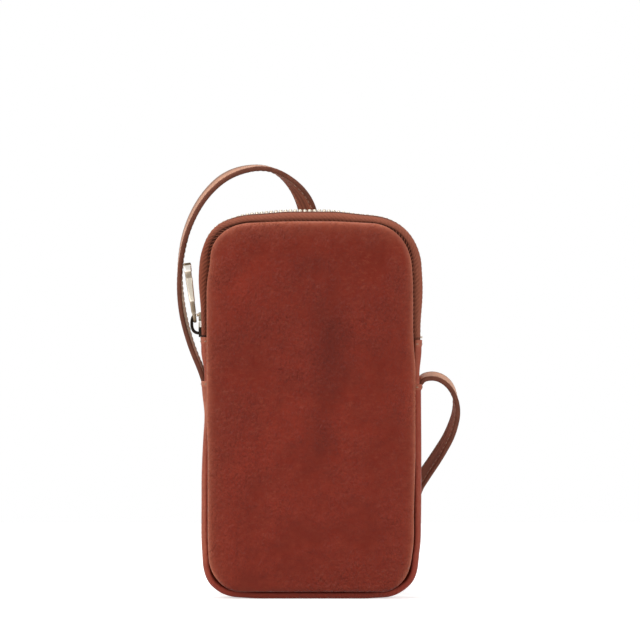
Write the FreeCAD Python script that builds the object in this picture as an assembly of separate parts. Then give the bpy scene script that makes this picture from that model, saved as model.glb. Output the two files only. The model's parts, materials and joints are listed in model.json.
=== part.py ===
import FreeCAD, Part
import math
import os

Vector = FreeCAD.Vector

# Phone pouch standing upright, in millimetres: +Z up, front towards -Y, origin at the middle of the base.

# Overall sizes of the pouch
body_width = 105.0
body_height = 185.0
body_depth = 26.0
outer_top_radius = 22.0
outer_base_radius = 20.0

# Front and back panels: shallow leather trays with a rolled edge
leather = 1.6
panel_inset_side = 3.1
panel_inset_base = 3.4
panel_inset_top = 5.0
panel_top_radius = 19.0
panel_base_radius = 16.0
panel_rise = 3.2
roll_land = 0.2

# Mouth: the upper front folds forward along a line just above the slider
fold_above_slider = 2.0
fold_gap = 0.3

# Gusset hem, with the pocket that holds each strap end
hem_top = 101.5
hem_height = 12.0
hem_flare = 1.1
hem_setback = 0.6
hem_inner_wall = 1.4
pocket_floor = 1.5
pocket_clearance = 0.17
pocket_side_clearance = 0.3

# Leather tabs that cover the ends of the zip
tab_inset = 1.0
tab_wall = 2.6
tab_top = 123.9
tab_gap = 0.3
tab_recess_height = 11.0
tab_recess_drift = 1.6

# Lining
lining = 0.5
lining_inset = 3.2
gusset_lining_margin = 3.2
gusset_lining_drop = 2.0

# Zip tape and teeth
tape = 0.8
row_gap = 1.2
tooth_depth = 2.2
tooth_length = 1.2
tooth_pitch = 2.3
tooth_outside = 0.7
tooth_inside = 1.5
first_tooth = 1.9
stop_length = 1.0
stop_lift = 0.2

# Zip slider
slider_above_tape_end = 0.8
slider_length = 12.0
slider_width = 8.4
slider_plate = 1.1
slider_clearance = 0.3
post_thickness = 0.8
post_length = 3.0
post_setback = 0.4
crown_height = 2.9
crown_bar = 1.0
crown_width = 2.0
crown_end_gap = 0.6
crown_low_gap = 1.2

# Pull tab
pull_length = 28.5
pull_bar_radius = 0.6
pull_bar_clearance = 0.17
pull_bar_above_middle = 1.7
pull_window = 2.8
pull_window_length = 5.5
pull_foot_width = 4.6
pull_top_width = 5.4
pull_top_thickness = 3.3
pull_top_bevel = 1.2
pull_tilt = 8.0

# Strap
strap_width = 10.0
strap_thickness = 2.4
slot_offset = 2.0
arc_share = 0.45
arc_step = 12.0

# Put-away coil behind the pouch: the strap stands on edge in two layers
coil_distance = 72.0
coil_outer = 45.0
coil_middle = 43.0
coil_inner = 40.0
layer_gap = 0.6

# Tie round the coil
tie_width = 8.0
tie_wall = 0.8
tie_clearance = 0.3

# Places worked out from the sizes above
half_width = body_width / 2
half_depth = body_depth / 2
seam = half_depth - panel_rise
panel_roll = panel_rise - roll_land
outer_shape = (half_width, 0.0, body_height, outer_base_radius, outer_top_radius)
panel_shape = (half_width - panel_inset_side, panel_inset_base, body_height - panel_inset_top,
               panel_base_radius, panel_top_radius)
tape_low = tab_top + tab_gap
slider_low = tape_low + slider_above_tape_end
fold_height = slider_low + slider_length + fold_above_slider
tape_edge = row_gap / 2 + tooth_depth
slot_middle = half_width - strap_thickness / 2
hem_low = hem_top - hem_height
pocket_low = hem_low + pocket_floor
plate_out = tooth_outside + slider_clearance
plate_in = tooth_inside + slider_clearance
crown_foot = plate_out + slider_plate
pull_bar_out = crown_foot + pull_bar_radius + pull_bar_clearance
crown_low = slider_low + crown_low_gap
crown_high = slider_low + slider_length - crown_end_gap
crown_middle = (crown_low + crown_high) / 2
pull_bar_height = crown_middle + pull_bar_above_middle
coil_base = tie_wall + tie_clearance
layer_rise = strap_width + layer_gap
low_layer = coil_base + strap_width / 2
high_layer = low_layer + layer_rise
MARGIN = 1.0
REACH = 400.0

# Route of the strap: x, y, z and how it lies there.
# 0 has its width front to back, 1 lies flat along the back, 2 stands on edge.
left_route = [
    (-slot_middle + 0.05, slot_offset, pocket_low + 0.3, 0.0),
    (-slot_middle - 0.05, slot_offset + 0.2, 106.0, 0.0),
    (-57.5, 6.6, 121.5, 0.0),
    (-62.2, 10.2, 139.0, 0.0),
    (-63.4, 12.4, 158.0, 0.0),
    (-60.5, 13.8, 177.0, 0.0),
    (-52.0, 14.9, 194.0, 0.0),
    (-38.0, 15.8, 205.0, 0.0),
    (-17.5, 16.6, 207.4, 0.05),
    (-5.8, 17.4, 197.0, 0.35),
    (-1.5, 18.2, 182.0, 0.8),
    (-4.5, 18.6, 162.0, 1.0),
    (-12.0, 18.8, 138.0, 1.0),
    (-21.5, 18.9, 113.0, 1.0),
    (-31.5, 18.8, 88.0, 1.0),
    (-39.5, 18.6, 65.0, 1.0),
    (-44.0, 18.9, 46.0, 1.0),
    (-45.2, 19.6, 33.2, 1.05),
    (-45.4, 23.6, 22.5, 1.2),
    (-45.3, 31.2, 13.6, 1.45),
    (-45.1, 41.8, 8.0, 1.75),
    (-coil_outer, 57.0, low_layer, 1.95),
    (-coil_outer, coil_distance, low_layer, 2.0),
]
right_route = [
    (slot_middle + 0.08, slot_offset, pocket_low + 0.3, 0.0),
    (slot_middle - 0.02, slot_offset + 0.1, 98.3, 0.0),
    (slot_middle + 0.2, slot_offset + 0.2, 105.3, 0.0),
    (60.0, 4.0, 106.6, 0.0),
    (67.6, 6.0, 101.5, 0.0),
    (70.6, 8.5, 91.0, 0.05),
    (66.5, 11.2, 78.0, 0.2),
    (59.5, 13.9, 65.5, 0.4),
    (53.6, 16.7, 54.5, 0.65),
    (48.5, 19.0, 44.6, 0.9),
    (45.6, 23.1, 33.3, 1.05),
    (44.8, 30.8, 24.2, 1.3),
    (44.7, 41.2, 18.4, 1.65),
    (coil_outer, 57.0, high_layer, 1.92),
    (coil_outer, coil_distance, high_layer, 2.0),
]


# Basic forms

def outline(shape):
    """Closed wire in the XZ plane: four straight sides joined by four corner arcs."""
    half, low, high, low_radius, high_radius = shape
    corners = [
        (half - low_radius, low + low_radius, low_radius, -90),
        (half - high_radius, high - high_radius, high_radius, 0),
        (-half + high_radius, high - high_radius, high_radius, 90),
        (-half + low_radius, low + low_radius, low_radius, 180),
    ]

    def on_corner(corner, sweep):
        x, z, radius, start = corner
        angle = math.radians(start + sweep)
        return Vector(x + radius * math.cos(angle), 0, z + radius * math.sin(angle))

    edges = []
    for corner, following in zip(corners, corners[1:] + corners[:1]):
        arc = Part.Arc(on_corner(corner, 0), on_corner(corner, 45), on_corner(corner, 90))
        edges.append(arc.toShape())
        edges.append(Part.LineSegment(on_corner(corner, 90), on_corner(following, 0)).toShape())
    return Part.Wire(edges)


def inset(shape, amount):
    half, low, high, low_radius, high_radius = shape
    return (half - amount, low + amount, high - amount, low_radius - amount, high_radius - amount)


def prism(shape, front, back, front_roll=0.0, back_roll=0.0):
    """The outline carried from front to back along Y, with rounded rims where a roll is given."""
    solid = Part.Face(outline(shape)).extrude(Vector(0, back - front, 0))
    solid.translate(Vector(0, front, 0))
    for level, roll in ((front, front_roll), (back, back_roll)):
        if roll > 0:
            rim = [edge for edge in solid.Edges
                   if all(abs(vertex.Point.y - level) < 1e-6 for vertex in edge.Vertexes)]
            solid = solid.makeFillet(roll, rim)
    return solid


def block(x_low, x_high, y_low, y_high, z_low, z_high):
    return Part.makeBox(x_high - x_low, y_high - y_low, z_high - z_low, Vector(x_low, y_low, z_low))


def layer(z_low, z_high):
    return block(-REACH, REACH, -REACH, REACH, z_low, z_high)


def side_of(sign):
    """Everything on one side of the middle: -1 is the left, 1 the right."""
    return block(min(0, sign * REACH), max(0, sign * REACH), -REACH, REACH, -REACH, REACH)


def to_back(solid):
    return solid.mirror(Vector(0, 0, 0), Vector(0, 1, 0))


def to_right(solid):
    return solid.mirror(Vector(0, 0, 0), Vector(1, 0, 0))


above_fold = layer(fold_height + fold_gap / 2, REACH)
below_fold = layer(-REACH, fold_height - fold_gap / 2)


# Leather panels

def panel():
    outside = prism(panel_shape, -half_depth, -seam, front_roll=panel_roll)
    hollow = prism(inset(panel_shape, leather), -half_depth + leather, -seam + MARGIN,
                   front_roll=panel_roll - leather)
    return outside.cut(hollow)


def panel_lining():
    inner_face = half_depth - leather
    return prism(inset(panel_shape, lining_inset), -inner_face, -inner_face + lining)


# Bands between the two panels

def mouth_window():
    """The space between the panels' rims, right through from front to back."""
    return prism(inset(panel_shape, leather), -half_depth, half_depth)


def band(shape, wall, roll):
    """Strip round the sides from seam to seam, with rounded edges and a narrow seam allowance."""
    outside = prism(shape, -seam, seam, roll, roll)
    hollow = prism(inset(shape, wall), -seam + leather, seam - leather, roll / 2, roll / 2)
    return outside.cut(hollow).cut(mouth_window())


def hem():
    """Left hem at the gusset's top end: a thick fold with a pocket for the strap's end."""
    inner = -slot_middle + strap_thickness / 2 + pocket_clearance + hem_inner_wall
    reach = seam - hem_setback
    flared = prism(inset(outer_shape, -hem_flare), -reach, reach, panel_inset_side, panel_inset_side)
    return flared.common(block(-REACH, inner, -REACH, REACH, hem_low, hem_top))


def pocket():
    half_thickness = strap_thickness / 2 + pocket_clearance
    half_across = strap_width / 2 + pocket_side_clearance
    return block(-slot_middle - half_thickness, -slot_middle + half_thickness,
                 slot_offset - half_across, slot_offset + half_across, pocket_low, hem_top + MARGIN)


def gusset():
    strip = band(outer_shape, leather, panel_inset_side).common(layer(-MARGIN, hem_top))
    left_hem = hem()
    left_pocket = pocket()
    whole = strip.fuse([left_hem, to_right(left_hem)])
    return whole.cut(left_pocket).cut(to_right(left_pocket)).removeSplitter()


def gusset_lining():
    outside = prism(inset(outer_shape, leather), -seam + gusset_lining_margin, seam - gusset_lining_margin)
    hollow = prism(inset(outer_shape, leather + lining), -seam, seam)
    return outside.cut(hollow).common(layer(-MARGIN, hem_low - gusset_lining_drop))


def zip_tab():
    """Left leather tab over the end of the zip, recessed where the strap rises beside it."""
    strip = band(inset(outer_shape, tab_inset), tab_wall, panel_inset_side - tab_inset)
    piece = strip.common(layer(hem_top + tab_gap, tab_top)).common(side_of(-1))
    half_across = strap_width / 2 + pocket_side_clearance
    inner = -slot_middle + strap_thickness / 2 + pocket_clearance
    recess = block(-REACH, inner, slot_offset - half_across, slot_offset + half_across + tab_recess_drift,
                   hem_top, hem_top + tab_recess_height)
    return piece.cut(recess)


# Zip

def front_tape():
    outside = prism(outer_shape, -seam, -tape_edge, front_roll=panel_inset_side)
    hollow = prism(inset(outer_shape, tape), -seam + tape, -tape_edge + MARGIN,
                   front_roll=panel_inset_side - tape)
    return outside.cut(hollow).cut(mouth_window()).common(layer(tape_low, REACH))


def zip_run():
    """Length of the zip's line: up the left side, over the top and down the right."""
    side = body_height - outer_top_radius - tape_low
    top = body_width - 2 * outer_top_radius
    corner = outer_top_radius * math.pi / 2
    return side, corner, top


def zip_place(distance):
    """Point on the zip's line (x, z) and the heading, in degrees turned from straight up."""
    side, corner, top = zip_run()
    centre_x = half_width - outer_top_radius
    centre_z = body_height - outer_top_radius
    if distance <= side:
        return -half_width, tape_low + distance, 0.0
    distance -= side
    if distance <= corner:
        turn = distance / outer_top_radius
        return (-centre_x - outer_top_radius * math.cos(turn),
                centre_z + outer_top_radius * math.sin(turn), math.degrees(turn))
    distance -= corner
    if distance <= top:
        return -centre_x + distance, body_height, 90.0
    distance -= top
    if distance <= corner:
        turn = distance / outer_top_radius
        return (centre_x + outer_top_radius * math.sin(turn),
                centre_z + outer_top_radius * math.cos(turn), 90.0 + math.degrees(turn))
    distance -= corner
    return half_width, centre_z - distance, 180.0


def tooth_at(distance):
    """One front tooth, gripping the tape's edge, and the height of its middle."""
    x, z, heading = zip_place(distance)
    tooth = block(-tooth_outside, tooth_inside, -tape_edge, -row_gap / 2, -tooth_length / 2, tooth_length / 2)
    tooth.rotate(Vector(0, 0, 0), Vector(0, 1, 0), heading)
    tooth.translate(Vector(x, 0, z))
    return tooth, z


def front_teeth():
    side, corner, top = zip_run()
    total = 2 * side + 2 * corner + top
    count = int((total - 2 * first_tooth) / tooth_pitch) + 1
    start = (total - (count - 1) * tooth_pitch) / 2
    return [tooth_at(start + index * tooth_pitch) for index in range(count)]


def stop_block(y_low, y_high):
    low = tape_low + stop_lift
    return block(-half_width - tooth_outside, -half_width + tooth_inside, y_low, y_high, low, low + stop_length)


def slider_body():
    high = slider_low + slider_length
    half = slider_width / 2
    outer = block(-half_width - plate_out - slider_plate, -half_width - plate_out, -half, half, slider_low, high)
    inner = block(-half_width + plate_in, -half_width + plate_in + slider_plate, -half, half, slider_low, high)
    post_low = slider_low + post_setback
    post = block(-half_width - plate_out, -half_width + plate_in, -post_thickness / 2, post_thickness / 2,
                 post_low, post_low + post_length)
    return outer.fuse([inner, post]).removeSplitter()


def slider_crown():
    """Arch on the slider's outer plate that holds the pull's end bar."""
    foot = -half_width - crown_foot

    def arch(shrink):
        rise = crown_height - shrink
        low = Vector(foot, -crown_width / 2, crown_low + shrink)
        top = Vector(foot - rise, -crown_width / 2, crown_middle)
        high = Vector(foot, -crown_width / 2, crown_high - shrink)
        bow = Part.Arc(low, top, high).toShape()
        base = Part.LineSegment(high, low).toShape()
        return Part.Face(Part.Wire([bow, base])).extrude(Vector(0, crown_width, 0))

    return arch(0.0).cut(arch(crown_bar))


def pull_tab():
    """Tapered bar with a window at its foot; its end bar lies under the crown."""
    foot = pull_bar_radius
    top = pull_top_thickness / 2
    side = Part.makePolygon([Vector(-foot, 0, 0), Vector(foot, 0, 0), Vector(top, 0, pull_length - pull_top_bevel),
                             Vector(top - pull_top_bevel, 0, pull_length),
                             Vector(pull_top_bevel - top, 0, pull_length),
                             Vector(-top, 0, pull_length - pull_top_bevel), Vector(-foot, 0, 0)])
    broad = pull_top_width / 2
    narrow = pull_foot_width / 2
    face = Part.makePolygon([Vector(0, -narrow, -foot), Vector(0, narrow, -foot),
                             Vector(0, broad, pull_length - pull_top_bevel),
                             Vector(0, broad - pull_top_bevel, pull_length),
                             Vector(0, pull_top_bevel - broad, pull_length),
                             Vector(0, -broad, pull_length - pull_top_bevel), Vector(0, -narrow, -foot)])
    slab = Part.Face(side).extrude(Vector(0, 2 * broad, 0))
    slab.translate(Vector(0, -broad, 0))
    front = Part.Face(face).extrude(Vector(2 * top, 0, 0))
    front.translate(Vector(-top, 0, 0))
    window = block(-REACH, REACH, -pull_window / 2, pull_window / 2, -foot - MARGIN, pull_window_length)
    bar = Part.makeCylinder(pull_bar_radius, 2 * narrow, Vector(0, -narrow, 0), Vector(0, 1, 0))
    solid = slab.common(front).cut(window).fuse(bar).removeSplitter()
    solid.rotate(Vector(0, 0, 0), Vector(0, 1, 0), -pull_tilt)
    solid.translate(Vector(-half_width - pull_bar_out, 0, pull_bar_height))
    return solid


# Strap

def strap_edges(route, name):
    """Straight runs joined by tangent arcs, each arc as large as its two runs allow."""
    points = [Vector(x, y, z) for x, y, z, lie in route]
    edges = []
    radii = []
    start = points[0]
    for before, corner, after in zip(points, points[1:], points[2:]):
        arriving = (corner - before).normalize()
        leaving = (after - corner).normalize()
        trim = arc_share * min((corner - before).Length, (after - corner).Length)
        half_turn = arriving.getAngle(leaving) / 2
        radius = trim / math.tan(half_turn)
        inward = (leaving - arriving).normalize()
        arc_start = corner - arriving * trim
        arc_end = corner + leaving * trim
        middle = corner + inward * (radius / math.cos(half_turn) - radius)
        edges.append(("run", Part.LineSegment(start, arc_start).toShape()))
        edges.append(("arc", Part.Arc(arc_start, middle, arc_end).toShape()))
        radii.append(radius)
        start = arc_end
    edges.append(("run", Part.LineSegment(start, points[-1]).toShape()))
    print(name, "arc radii", [round(radius, 1) for radius in radii])
    return edges


def strap_across(lie, heading):
    """Direction of the strap's width, square to its heading."""
    front_to_back = Vector(0, 1, 0)
    along_back = Vector(-1, 0, 0)
    upright = Vector(0, 0, 1)
    turn = math.radians(90 * (lie % 1.0 if lie < 2.0 else 1.0))
    if lie < 1.0:
        across = front_to_back * math.cos(turn) + along_back * math.sin(turn)
    else:
        across = along_back * math.cos(turn) + upright * math.sin(turn)
    return (across - heading * across.dot(heading)).normalize()


def strap_section(point, heading, lie):
    across = strap_across(lie, heading) * (strap_width / 2)
    through = heading.cross(across).normalize() * (strap_thickness / 2)
    corners = [point + across + through, point - across + through,
               point - across - through, point + across - through]
    return Part.makePolygon(corners + corners[:1])


def lie_along(route, place):
    index = min(int(place), len(route) - 2)
    share = place - index
    return route[index][3] * (1 - share) + route[index + 1][3] * share


def strap_stretch(route, name):
    """Flat strip along the route, turning about its own line as the route says."""
    edges = strap_edges(route, name)
    sections = []
    for number, (kind, edge) in enumerate(edges):
        first, last = edge.ParameterRange
        corner = (number + 1) // 2
        if kind == "run":
            steps = 1
            begin = 0.0 if number == 0 else corner + arc_share
            span = 1 - 2 * arc_share
        else:
            turn = edge.tangentAt(first).getAngle(edge.tangentAt(last))
            steps = max(2, math.ceil(math.degrees(turn) / arc_step))
            begin = corner - arc_share
            span = 2 * arc_share
        for step in range(steps):
            parameter = first + (last - first) * step / steps
            place = begin + span * step / steps
            sections.append(strap_section(edge.valueAt(parameter), edge.tangentAt(parameter),
                                          lie_along(route, place)))
    kind, edge = edges[-1]
    end = edge.ParameterRange[1]
    sections.append(strap_section(edge.valueAt(end), edge.tangentAt(end), route[-1][3]))
    solid = Part.makeLoft(sections, True, True)
    length = sum(edge.Length for kind, edge in edges)
    expected = length * strap_width * strap_thickness
    print(name, "length %.1f" % length, "volume over section times length %.4f" % (solid.Volume / expected))
    return solid, length


# Coil: half turns whose centres step sideways, so each is tangent to the next

coil_turns = [
    (-coil_outer, coil_middle, 1, 0),
    (coil_middle, -coil_inner, -1, 0),
    (-coil_inner, coil_inner, 1, None),
    (coil_inner, -coil_middle, -1, 1),
    (-coil_middle, coil_outer, 1, 1),
]


def half_turn(x_from, x_to, side, level):
    """Half a turn of strap on edge; the one with no level climbs from the low layer to the high one."""
    radius = abs(x_to - x_from) / 2
    centre = Vector((x_from + x_to) / 2, coil_distance, coil_base)
    height = 2 * strap_width + layer_gap
    outside = Part.makeCylinder(radius + strap_thickness / 2, height, centre)
    ring = outside.cut(Part.makeCylinder(radius - strap_thickness / 2, height, centre))
    y_near = coil_distance if side > 0 else coil_distance - REACH
    ring = ring.common(block(-REACH, REACH, y_near, y_near + REACH, -REACH, REACH))
    if level is None:
        slope = layer_rise / (x_to - x_from)
        ends = [x_from - strap_thickness, x_to + strap_thickness]
        lows = [coil_base + slope * (x - x_from) for x in ends]
        corners = [Vector(ends[0], 0, lows[0]), Vector(ends[1], 0, lows[1]),
                   Vector(ends[1], 0, lows[1] + strap_width), Vector(ends[0], 0, lows[0] + strap_width)]
        ramp = Part.Face(Part.makePolygon(corners + corners[:1])).extrude(Vector(0, REACH, 0))
        tall = Part.makeCylinder(radius + strap_thickness / 2, height + 2 * MARGIN, centre - Vector(0, 0, MARGIN))
        tall = tall.cut(Part.makeCylinder(radius - strap_thickness / 2, height + 2 * MARGIN,
                                          centre - Vector(0, 0, MARGIN)))
        return tall.common(block(-REACH, REACH, y_near, y_near + REACH, -REACH, REACH)).common(ramp)
    low = coil_base + level * layer_rise
    return ring.common(layer(low, low + strap_width))


def coil_points():
    points = []
    steps = 36
    for x_from, x_to, side, level in coil_turns:
        centre = (x_from + x_to) / 2
        radius = (x_to - x_from) / 2
        for step in range(steps):
            angle = math.pi * step / steps
            x = centre - radius * math.cos(angle)
            y = coil_distance + side * abs(radius) * math.sin(angle)
            rise = (x - x_from) / (x_to - x_from) if level is None else level
            points.append(Vector(x, y, low_layer + rise * layer_rise))
    return points


def least_coil_gap():
    """Smallest clear space between parts of the coil at least half a turn apart."""
    points = coil_points()
    least = REACH
    for index, one in enumerate(points):
        for other in points[index + 36:]:
            flat = math.hypot(one.x - other.x, one.y - other.y) - strap_thickness
            tall = abs(one.z - other.z) - strap_width
            least = min(least, max(flat, tall))
    return least


def coil():
    turns = [half_turn(*turn) for turn in coil_turns]
    solid = turns[0].fuse(turns[1:]).removeSplitter()
    length = sum(math.pi * abs(x_to - x_from) / 2 for x_from, x_to, side, level in coil_turns)
    expected = length * strap_width * strap_thickness
    print("coil length %.1f" % length, "volume over section times length %.4f" % (solid.Volume / expected),
          "least gap to itself %.2f" % least_coil_gap())
    return solid, length


def strap_tie():
    """Leather loop round all the coil's layers at its far side."""
    near = coil_distance + coil_inner - strap_thickness / 2 - tie_clearance
    far = coil_distance + coil_outer + strap_thickness / 2 + tie_clearance
    low = coil_base - tie_clearance
    high = high_layer + strap_width / 2 + tie_clearance
    outside = block(-tie_width / 2, tie_width / 2, near - tie_wall, far + tie_wall, low - tie_wall, high + tie_wall)
    return outside.cut(block(-tie_width, tie_width, near, far, low, high))


# All pieces, by name

def pieces():
    front_panel = panel()
    front_lining = panel_lining()
    tape_half = front_tape()
    left_tab = zip_tab()
    teeth = front_teeth()
    left_strap, left_length = strap_stretch(left_route, "strap left")
    right_strap, right_length = strap_stretch(right_route, "strap right")
    coiled, coil_length = coil()
    print("strap length %.1f" % (left_length + coil_length + right_length))
    row = row_gap / 2
    return {
        "front_panel_lower": front_panel.common(below_fold),
        "front_panel_upper": front_panel.common(above_fold),
        "back_panel": to_back(front_panel),
        "gusset": gusset(),
        "left_zip_tab": left_tab,
        "right_zip_tab": to_right(left_tab),
        "front_lining_lower": front_lining.common(below_fold),
        "front_lining_upper": front_lining.common(above_fold),
        "back_lining": to_back(front_lining),
        "gusset_lining": gusset_lining(),
        "front_tape": tape_half.common(above_fold),
        "left_front_tape_end": tape_half.common(below_fold).common(side_of(-1)),
        "right_front_tape_end": tape_half.common(below_fold).common(side_of(1)),
        "back_tape": to_back(tape_half),
        "front_teeth": Part.makeCompound([tooth for tooth, z in teeth if z > fold_height]),
        "front_teeth_ends": Part.makeCompound([tooth for tooth, z in teeth if z <= fold_height]),
        "back_teeth": Part.makeCompound([to_back(tooth) for tooth, z in teeth]),
        "zip_top_stops": Part.makeCompound([stop_block(-tape_edge, -row), stop_block(row, tape_edge)]),
        "zip_bottom_stop": to_right(stop_block(-tape_edge, tape_edge)),
        "slider_body": slider_body(),
        "slider_crown": slider_crown(),
        "pull_tab": pull_tab(),
        "strap_left": left_strap,
        "strap_coil": coiled,
        "strap_right": right_strap,
        "strap_tie": strap_tie(),
    }


os.makedirs("parts", exist_ok=True)
for name, solid in pieces().items():
    solid.exportStep("parts/" + name + ".step")
    print(name, "solids", len(solid.Solids), "valid", solid.isValid(), "volume %.1f" % solid.Volume)
print("pull bar at x %.2f z %.2f" % (-half_width - pull_bar_out, pull_bar_height))
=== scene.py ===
import json
import math

import bmesh
import bpy
from bpy.props import FloatProperty, FloatVectorProperty
from mathutils import Matrix, Vector, noise


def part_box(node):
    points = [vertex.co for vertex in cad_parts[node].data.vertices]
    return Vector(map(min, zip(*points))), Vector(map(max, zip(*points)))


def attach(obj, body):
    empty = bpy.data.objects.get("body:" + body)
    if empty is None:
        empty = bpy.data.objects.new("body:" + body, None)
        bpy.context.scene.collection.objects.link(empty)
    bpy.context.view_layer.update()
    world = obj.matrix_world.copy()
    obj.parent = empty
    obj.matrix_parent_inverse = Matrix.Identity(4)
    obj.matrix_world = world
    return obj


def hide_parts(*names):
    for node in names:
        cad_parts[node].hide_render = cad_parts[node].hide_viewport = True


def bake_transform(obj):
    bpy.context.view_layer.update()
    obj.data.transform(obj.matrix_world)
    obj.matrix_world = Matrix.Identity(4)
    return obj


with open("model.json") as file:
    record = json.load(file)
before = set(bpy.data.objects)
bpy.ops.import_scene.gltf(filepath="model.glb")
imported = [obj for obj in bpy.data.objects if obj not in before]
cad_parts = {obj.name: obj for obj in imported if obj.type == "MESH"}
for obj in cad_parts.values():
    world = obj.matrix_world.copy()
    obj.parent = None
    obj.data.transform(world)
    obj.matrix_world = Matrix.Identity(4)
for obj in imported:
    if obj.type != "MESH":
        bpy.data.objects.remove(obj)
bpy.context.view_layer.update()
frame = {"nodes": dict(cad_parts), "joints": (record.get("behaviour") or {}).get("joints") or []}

bl_info = {
    "name": "Leather phone pouch",
    "version": (1, 0, 0),
    "blender": (4, 5, 0),
    "location": "3D View > Sidebar > Pouch",
    "description": "Builds a zipped leather phone pouch with a shoulder strap round its packed frame",
    "category": "Object",
}

# Places read from the frame, in metres
PANEL_LOW, PANEL_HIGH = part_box("back_panel")
TAPE_LOW, TAPE_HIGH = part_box("back_tape")
TAB_LOW, TAB_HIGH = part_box("left_zip_tab")
SLIDER_LOW, SLIDER_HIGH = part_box("slider_body")
CROWN_LOW, CROWN_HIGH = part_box("slider_crown")
TIE_LOW, TIE_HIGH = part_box("strap_tie")
GUSSET_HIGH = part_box("gusset")[1]
GUSSET_LINING_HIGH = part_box("gusset_lining")[1]
JOINTS = {joint["name"]: joint for joint in frame["joints"]}
PULL_PIVOT = Vector(JOINTS["pull_swing"]["pos_m"])
FOLD = Vector(JOINTS["mouth_open"]["pos_m"])

HALF_WIDTH = TAPE_HIGH.x
TOP = TAPE_HIGH.z
FACE = PANEL_HIGH.y
SEAM = PANEL_LOW.y
PANEL_HALF = PANEL_HIGH.x
SEAM_INSET = HALF_WIDTH - PANEL_HALF
TOP_SEAM_INSET = TOP - PANEL_HIGH.z


# Sizes and colours that a user would change

def length(name, description, default):
    """A property that holds a length in metres."""
    return FloatProperty(name=name, description=description, default=default, min=0.0, unit="LENGTH",
                         precision=5)


def colour(name, description, default):
    """A property that holds a colour."""
    return FloatVectorProperty(name=name, description=description, default=default, size=3, subtype="COLOR",
                               min=0.0, max=1.0)


class PouchBodySizes(bpy.types.PropertyGroup):
    """Sizes of the leather body."""
    outer_top_radius: length("Top corner", "Radius of the outline's top corners", 0.025)
    outer_base_radius: length("Base corner", "Radius of the outline's base corners", 0.0175)
    panel_top_radius: length("Panel top corner", "Radius of the panel's top corners", 0.0215)
    panel_base_radius: length("Panel base corner", "Radius of the panel's base corners", 0.016)
    leather: length("Leather", "Thickness of the leather", 0.0016)
    panel_roll: length("Panel roll", "Width of the panel's rolled edge", 0.0030)
    panel_crown: length("Panel crown", "How far the panel swells in front of its rolled edge", 0.0009)
    panel_swell: length("Panel swell", "Distance over which the panel swells", 0.011)
    unevenness: length("Unevenness", "Height of the leather's soft waves", 0.00022)
    hem_flare: length("Hem flare", "How far the gusset's hem stands out", 0.0007)
    hem_height: length("Hem height", "Height of the folded hem", 0.0025)


class PouchZipSizes(bpy.types.PropertyGroup):
    """Sizes of the zip and its slider."""
    tape: length("Tape", "Thickness of the zip tape", 0.0008)
    rib_pitch: length("Rib pitch", "Distance between the tape's slanting ribs", 0.0021)
    rib_height: length("Rib height", "Height of the tape's ribs", 0.0004)
    tooth_pitch: length("Tooth pitch", "Distance between the teeth of one row", 0.0023)
    pull_length: length("Pull length", "Length of the pull tab", 0.0278)
    pull_width: length("Pull width", "Width of the pull tab", 0.0052)


class PouchStrapSizes(bpy.types.PropertyGroup):
    """Sizes of the shoulder strap."""
    width: length("Width", "Width of the strap", 0.010)
    thickness: length("Thickness", "Thickness of the strap's two layers", 0.0023)
    total: length("Length", "Length of the whole strap", 1.22)
    stitch_pitch: length("Stitch pitch", "Distance between stitches", 0.0025)
    stitch_inset: length("Stitch inset", "Distance of the stitches from the edge", 0.0015)


class PouchColours(bpy.types.PropertyGroup):
    """Colours of the finishes."""
    panel: colour("Panel leather", "Main colour of the panels", (0.228, 0.0207, 0.0086))
    panel_dark: colour("Panel shade", "Darker patches of the panels", (0.164, 0.0150, 0.0063))
    # Pale colour of the panels' grains and rolled edges; on the edges it is partly wear and partly painted
    # highlight
    panel_light: colour("Panel edge", "Rubbed colour of the panels' rolled edges", (0.500, 0.148, 0.082))
    gusset: colour("Gusset leather", "Main colour of the gusset and zip tabs", (0.330, 0.057, 0.029))
    # Darker patches of the gusset, and also its painted shade towards the base
    gusset_dark: colour("Gusset shade", "Darker patches of the gusset and its base", (0.270, 0.036, 0.020))
    # Pale colour of the gusset's grains, edges and hems; on the edges and hems it is partly wear and partly
    # painted highlight
    gusset_light: colour("Gusset edge", "Rubbed colour of the gusset's edges and hems", (0.620, 0.240, 0.145))
    # Painted shade deep in the seams
    groove: colour("Seam groove", "Colour of the leather deep in the seams", (0.120, 0.0115, 0.0045))
    # The strap is one leather on both sides: its outer faces are pale partly as painted highlight, its inner
    # face darker partly as painted shade
    strap: colour("Strap leather", "Colour of the strap's faces", (0.740, 0.360, 0.215))
    strap_inside: colour("Strap inside", "Colour of the strap's inner face", (0.450, 0.145, 0.082))
    # Painted highlight on the strap's inner face beside the zip
    strap_inside_highlight: colour("Strap suede", "Paler inner face beside the zip", (0.920, 0.680, 0.490))
    strap_edge: colour("Strap edge", "Painted colour of the strap's edges", (0.135, 0.046, 0.028))
    thread: colour("Thread", "Colour of the stitches on the strap and the hems", (0.400, 0.210, 0.125))
    # Painted highlight: the strap's stitches beside the zip are made paler than the others
    pale_thread: colour("Pale thread", "Colour of the strap's stitches beside the zip", (0.760, 0.600, 0.440))
    tape: colour("Zip tape", "Colour of the woven tape", (0.350, 0.088, 0.046))
    # Painted highlight along the tape's top; also the tape's paler right side
    tape_light: colour("Zip tape light", "Colour of the tape along the top", (0.620, 0.270, 0.180))
    lining: colour("Lining", "Colour of the cotton lining", (0.420, 0.290, 0.180))
    metal: colour("Metal", "Colour of the polished metal", (0.860, 0.760, 0.630))
    # Colours of the painted reflections on the slider and pull: dim bands and dark parts
    metal_dim_reflection: colour("Dull metal", "Colour of the dull bands", (0.250, 0.178, 0.112))
    metal_dark_reflection: colour("Black metal", "Colour of the blackened slider parts", (0.022, 0.016, 0.012))


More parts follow.
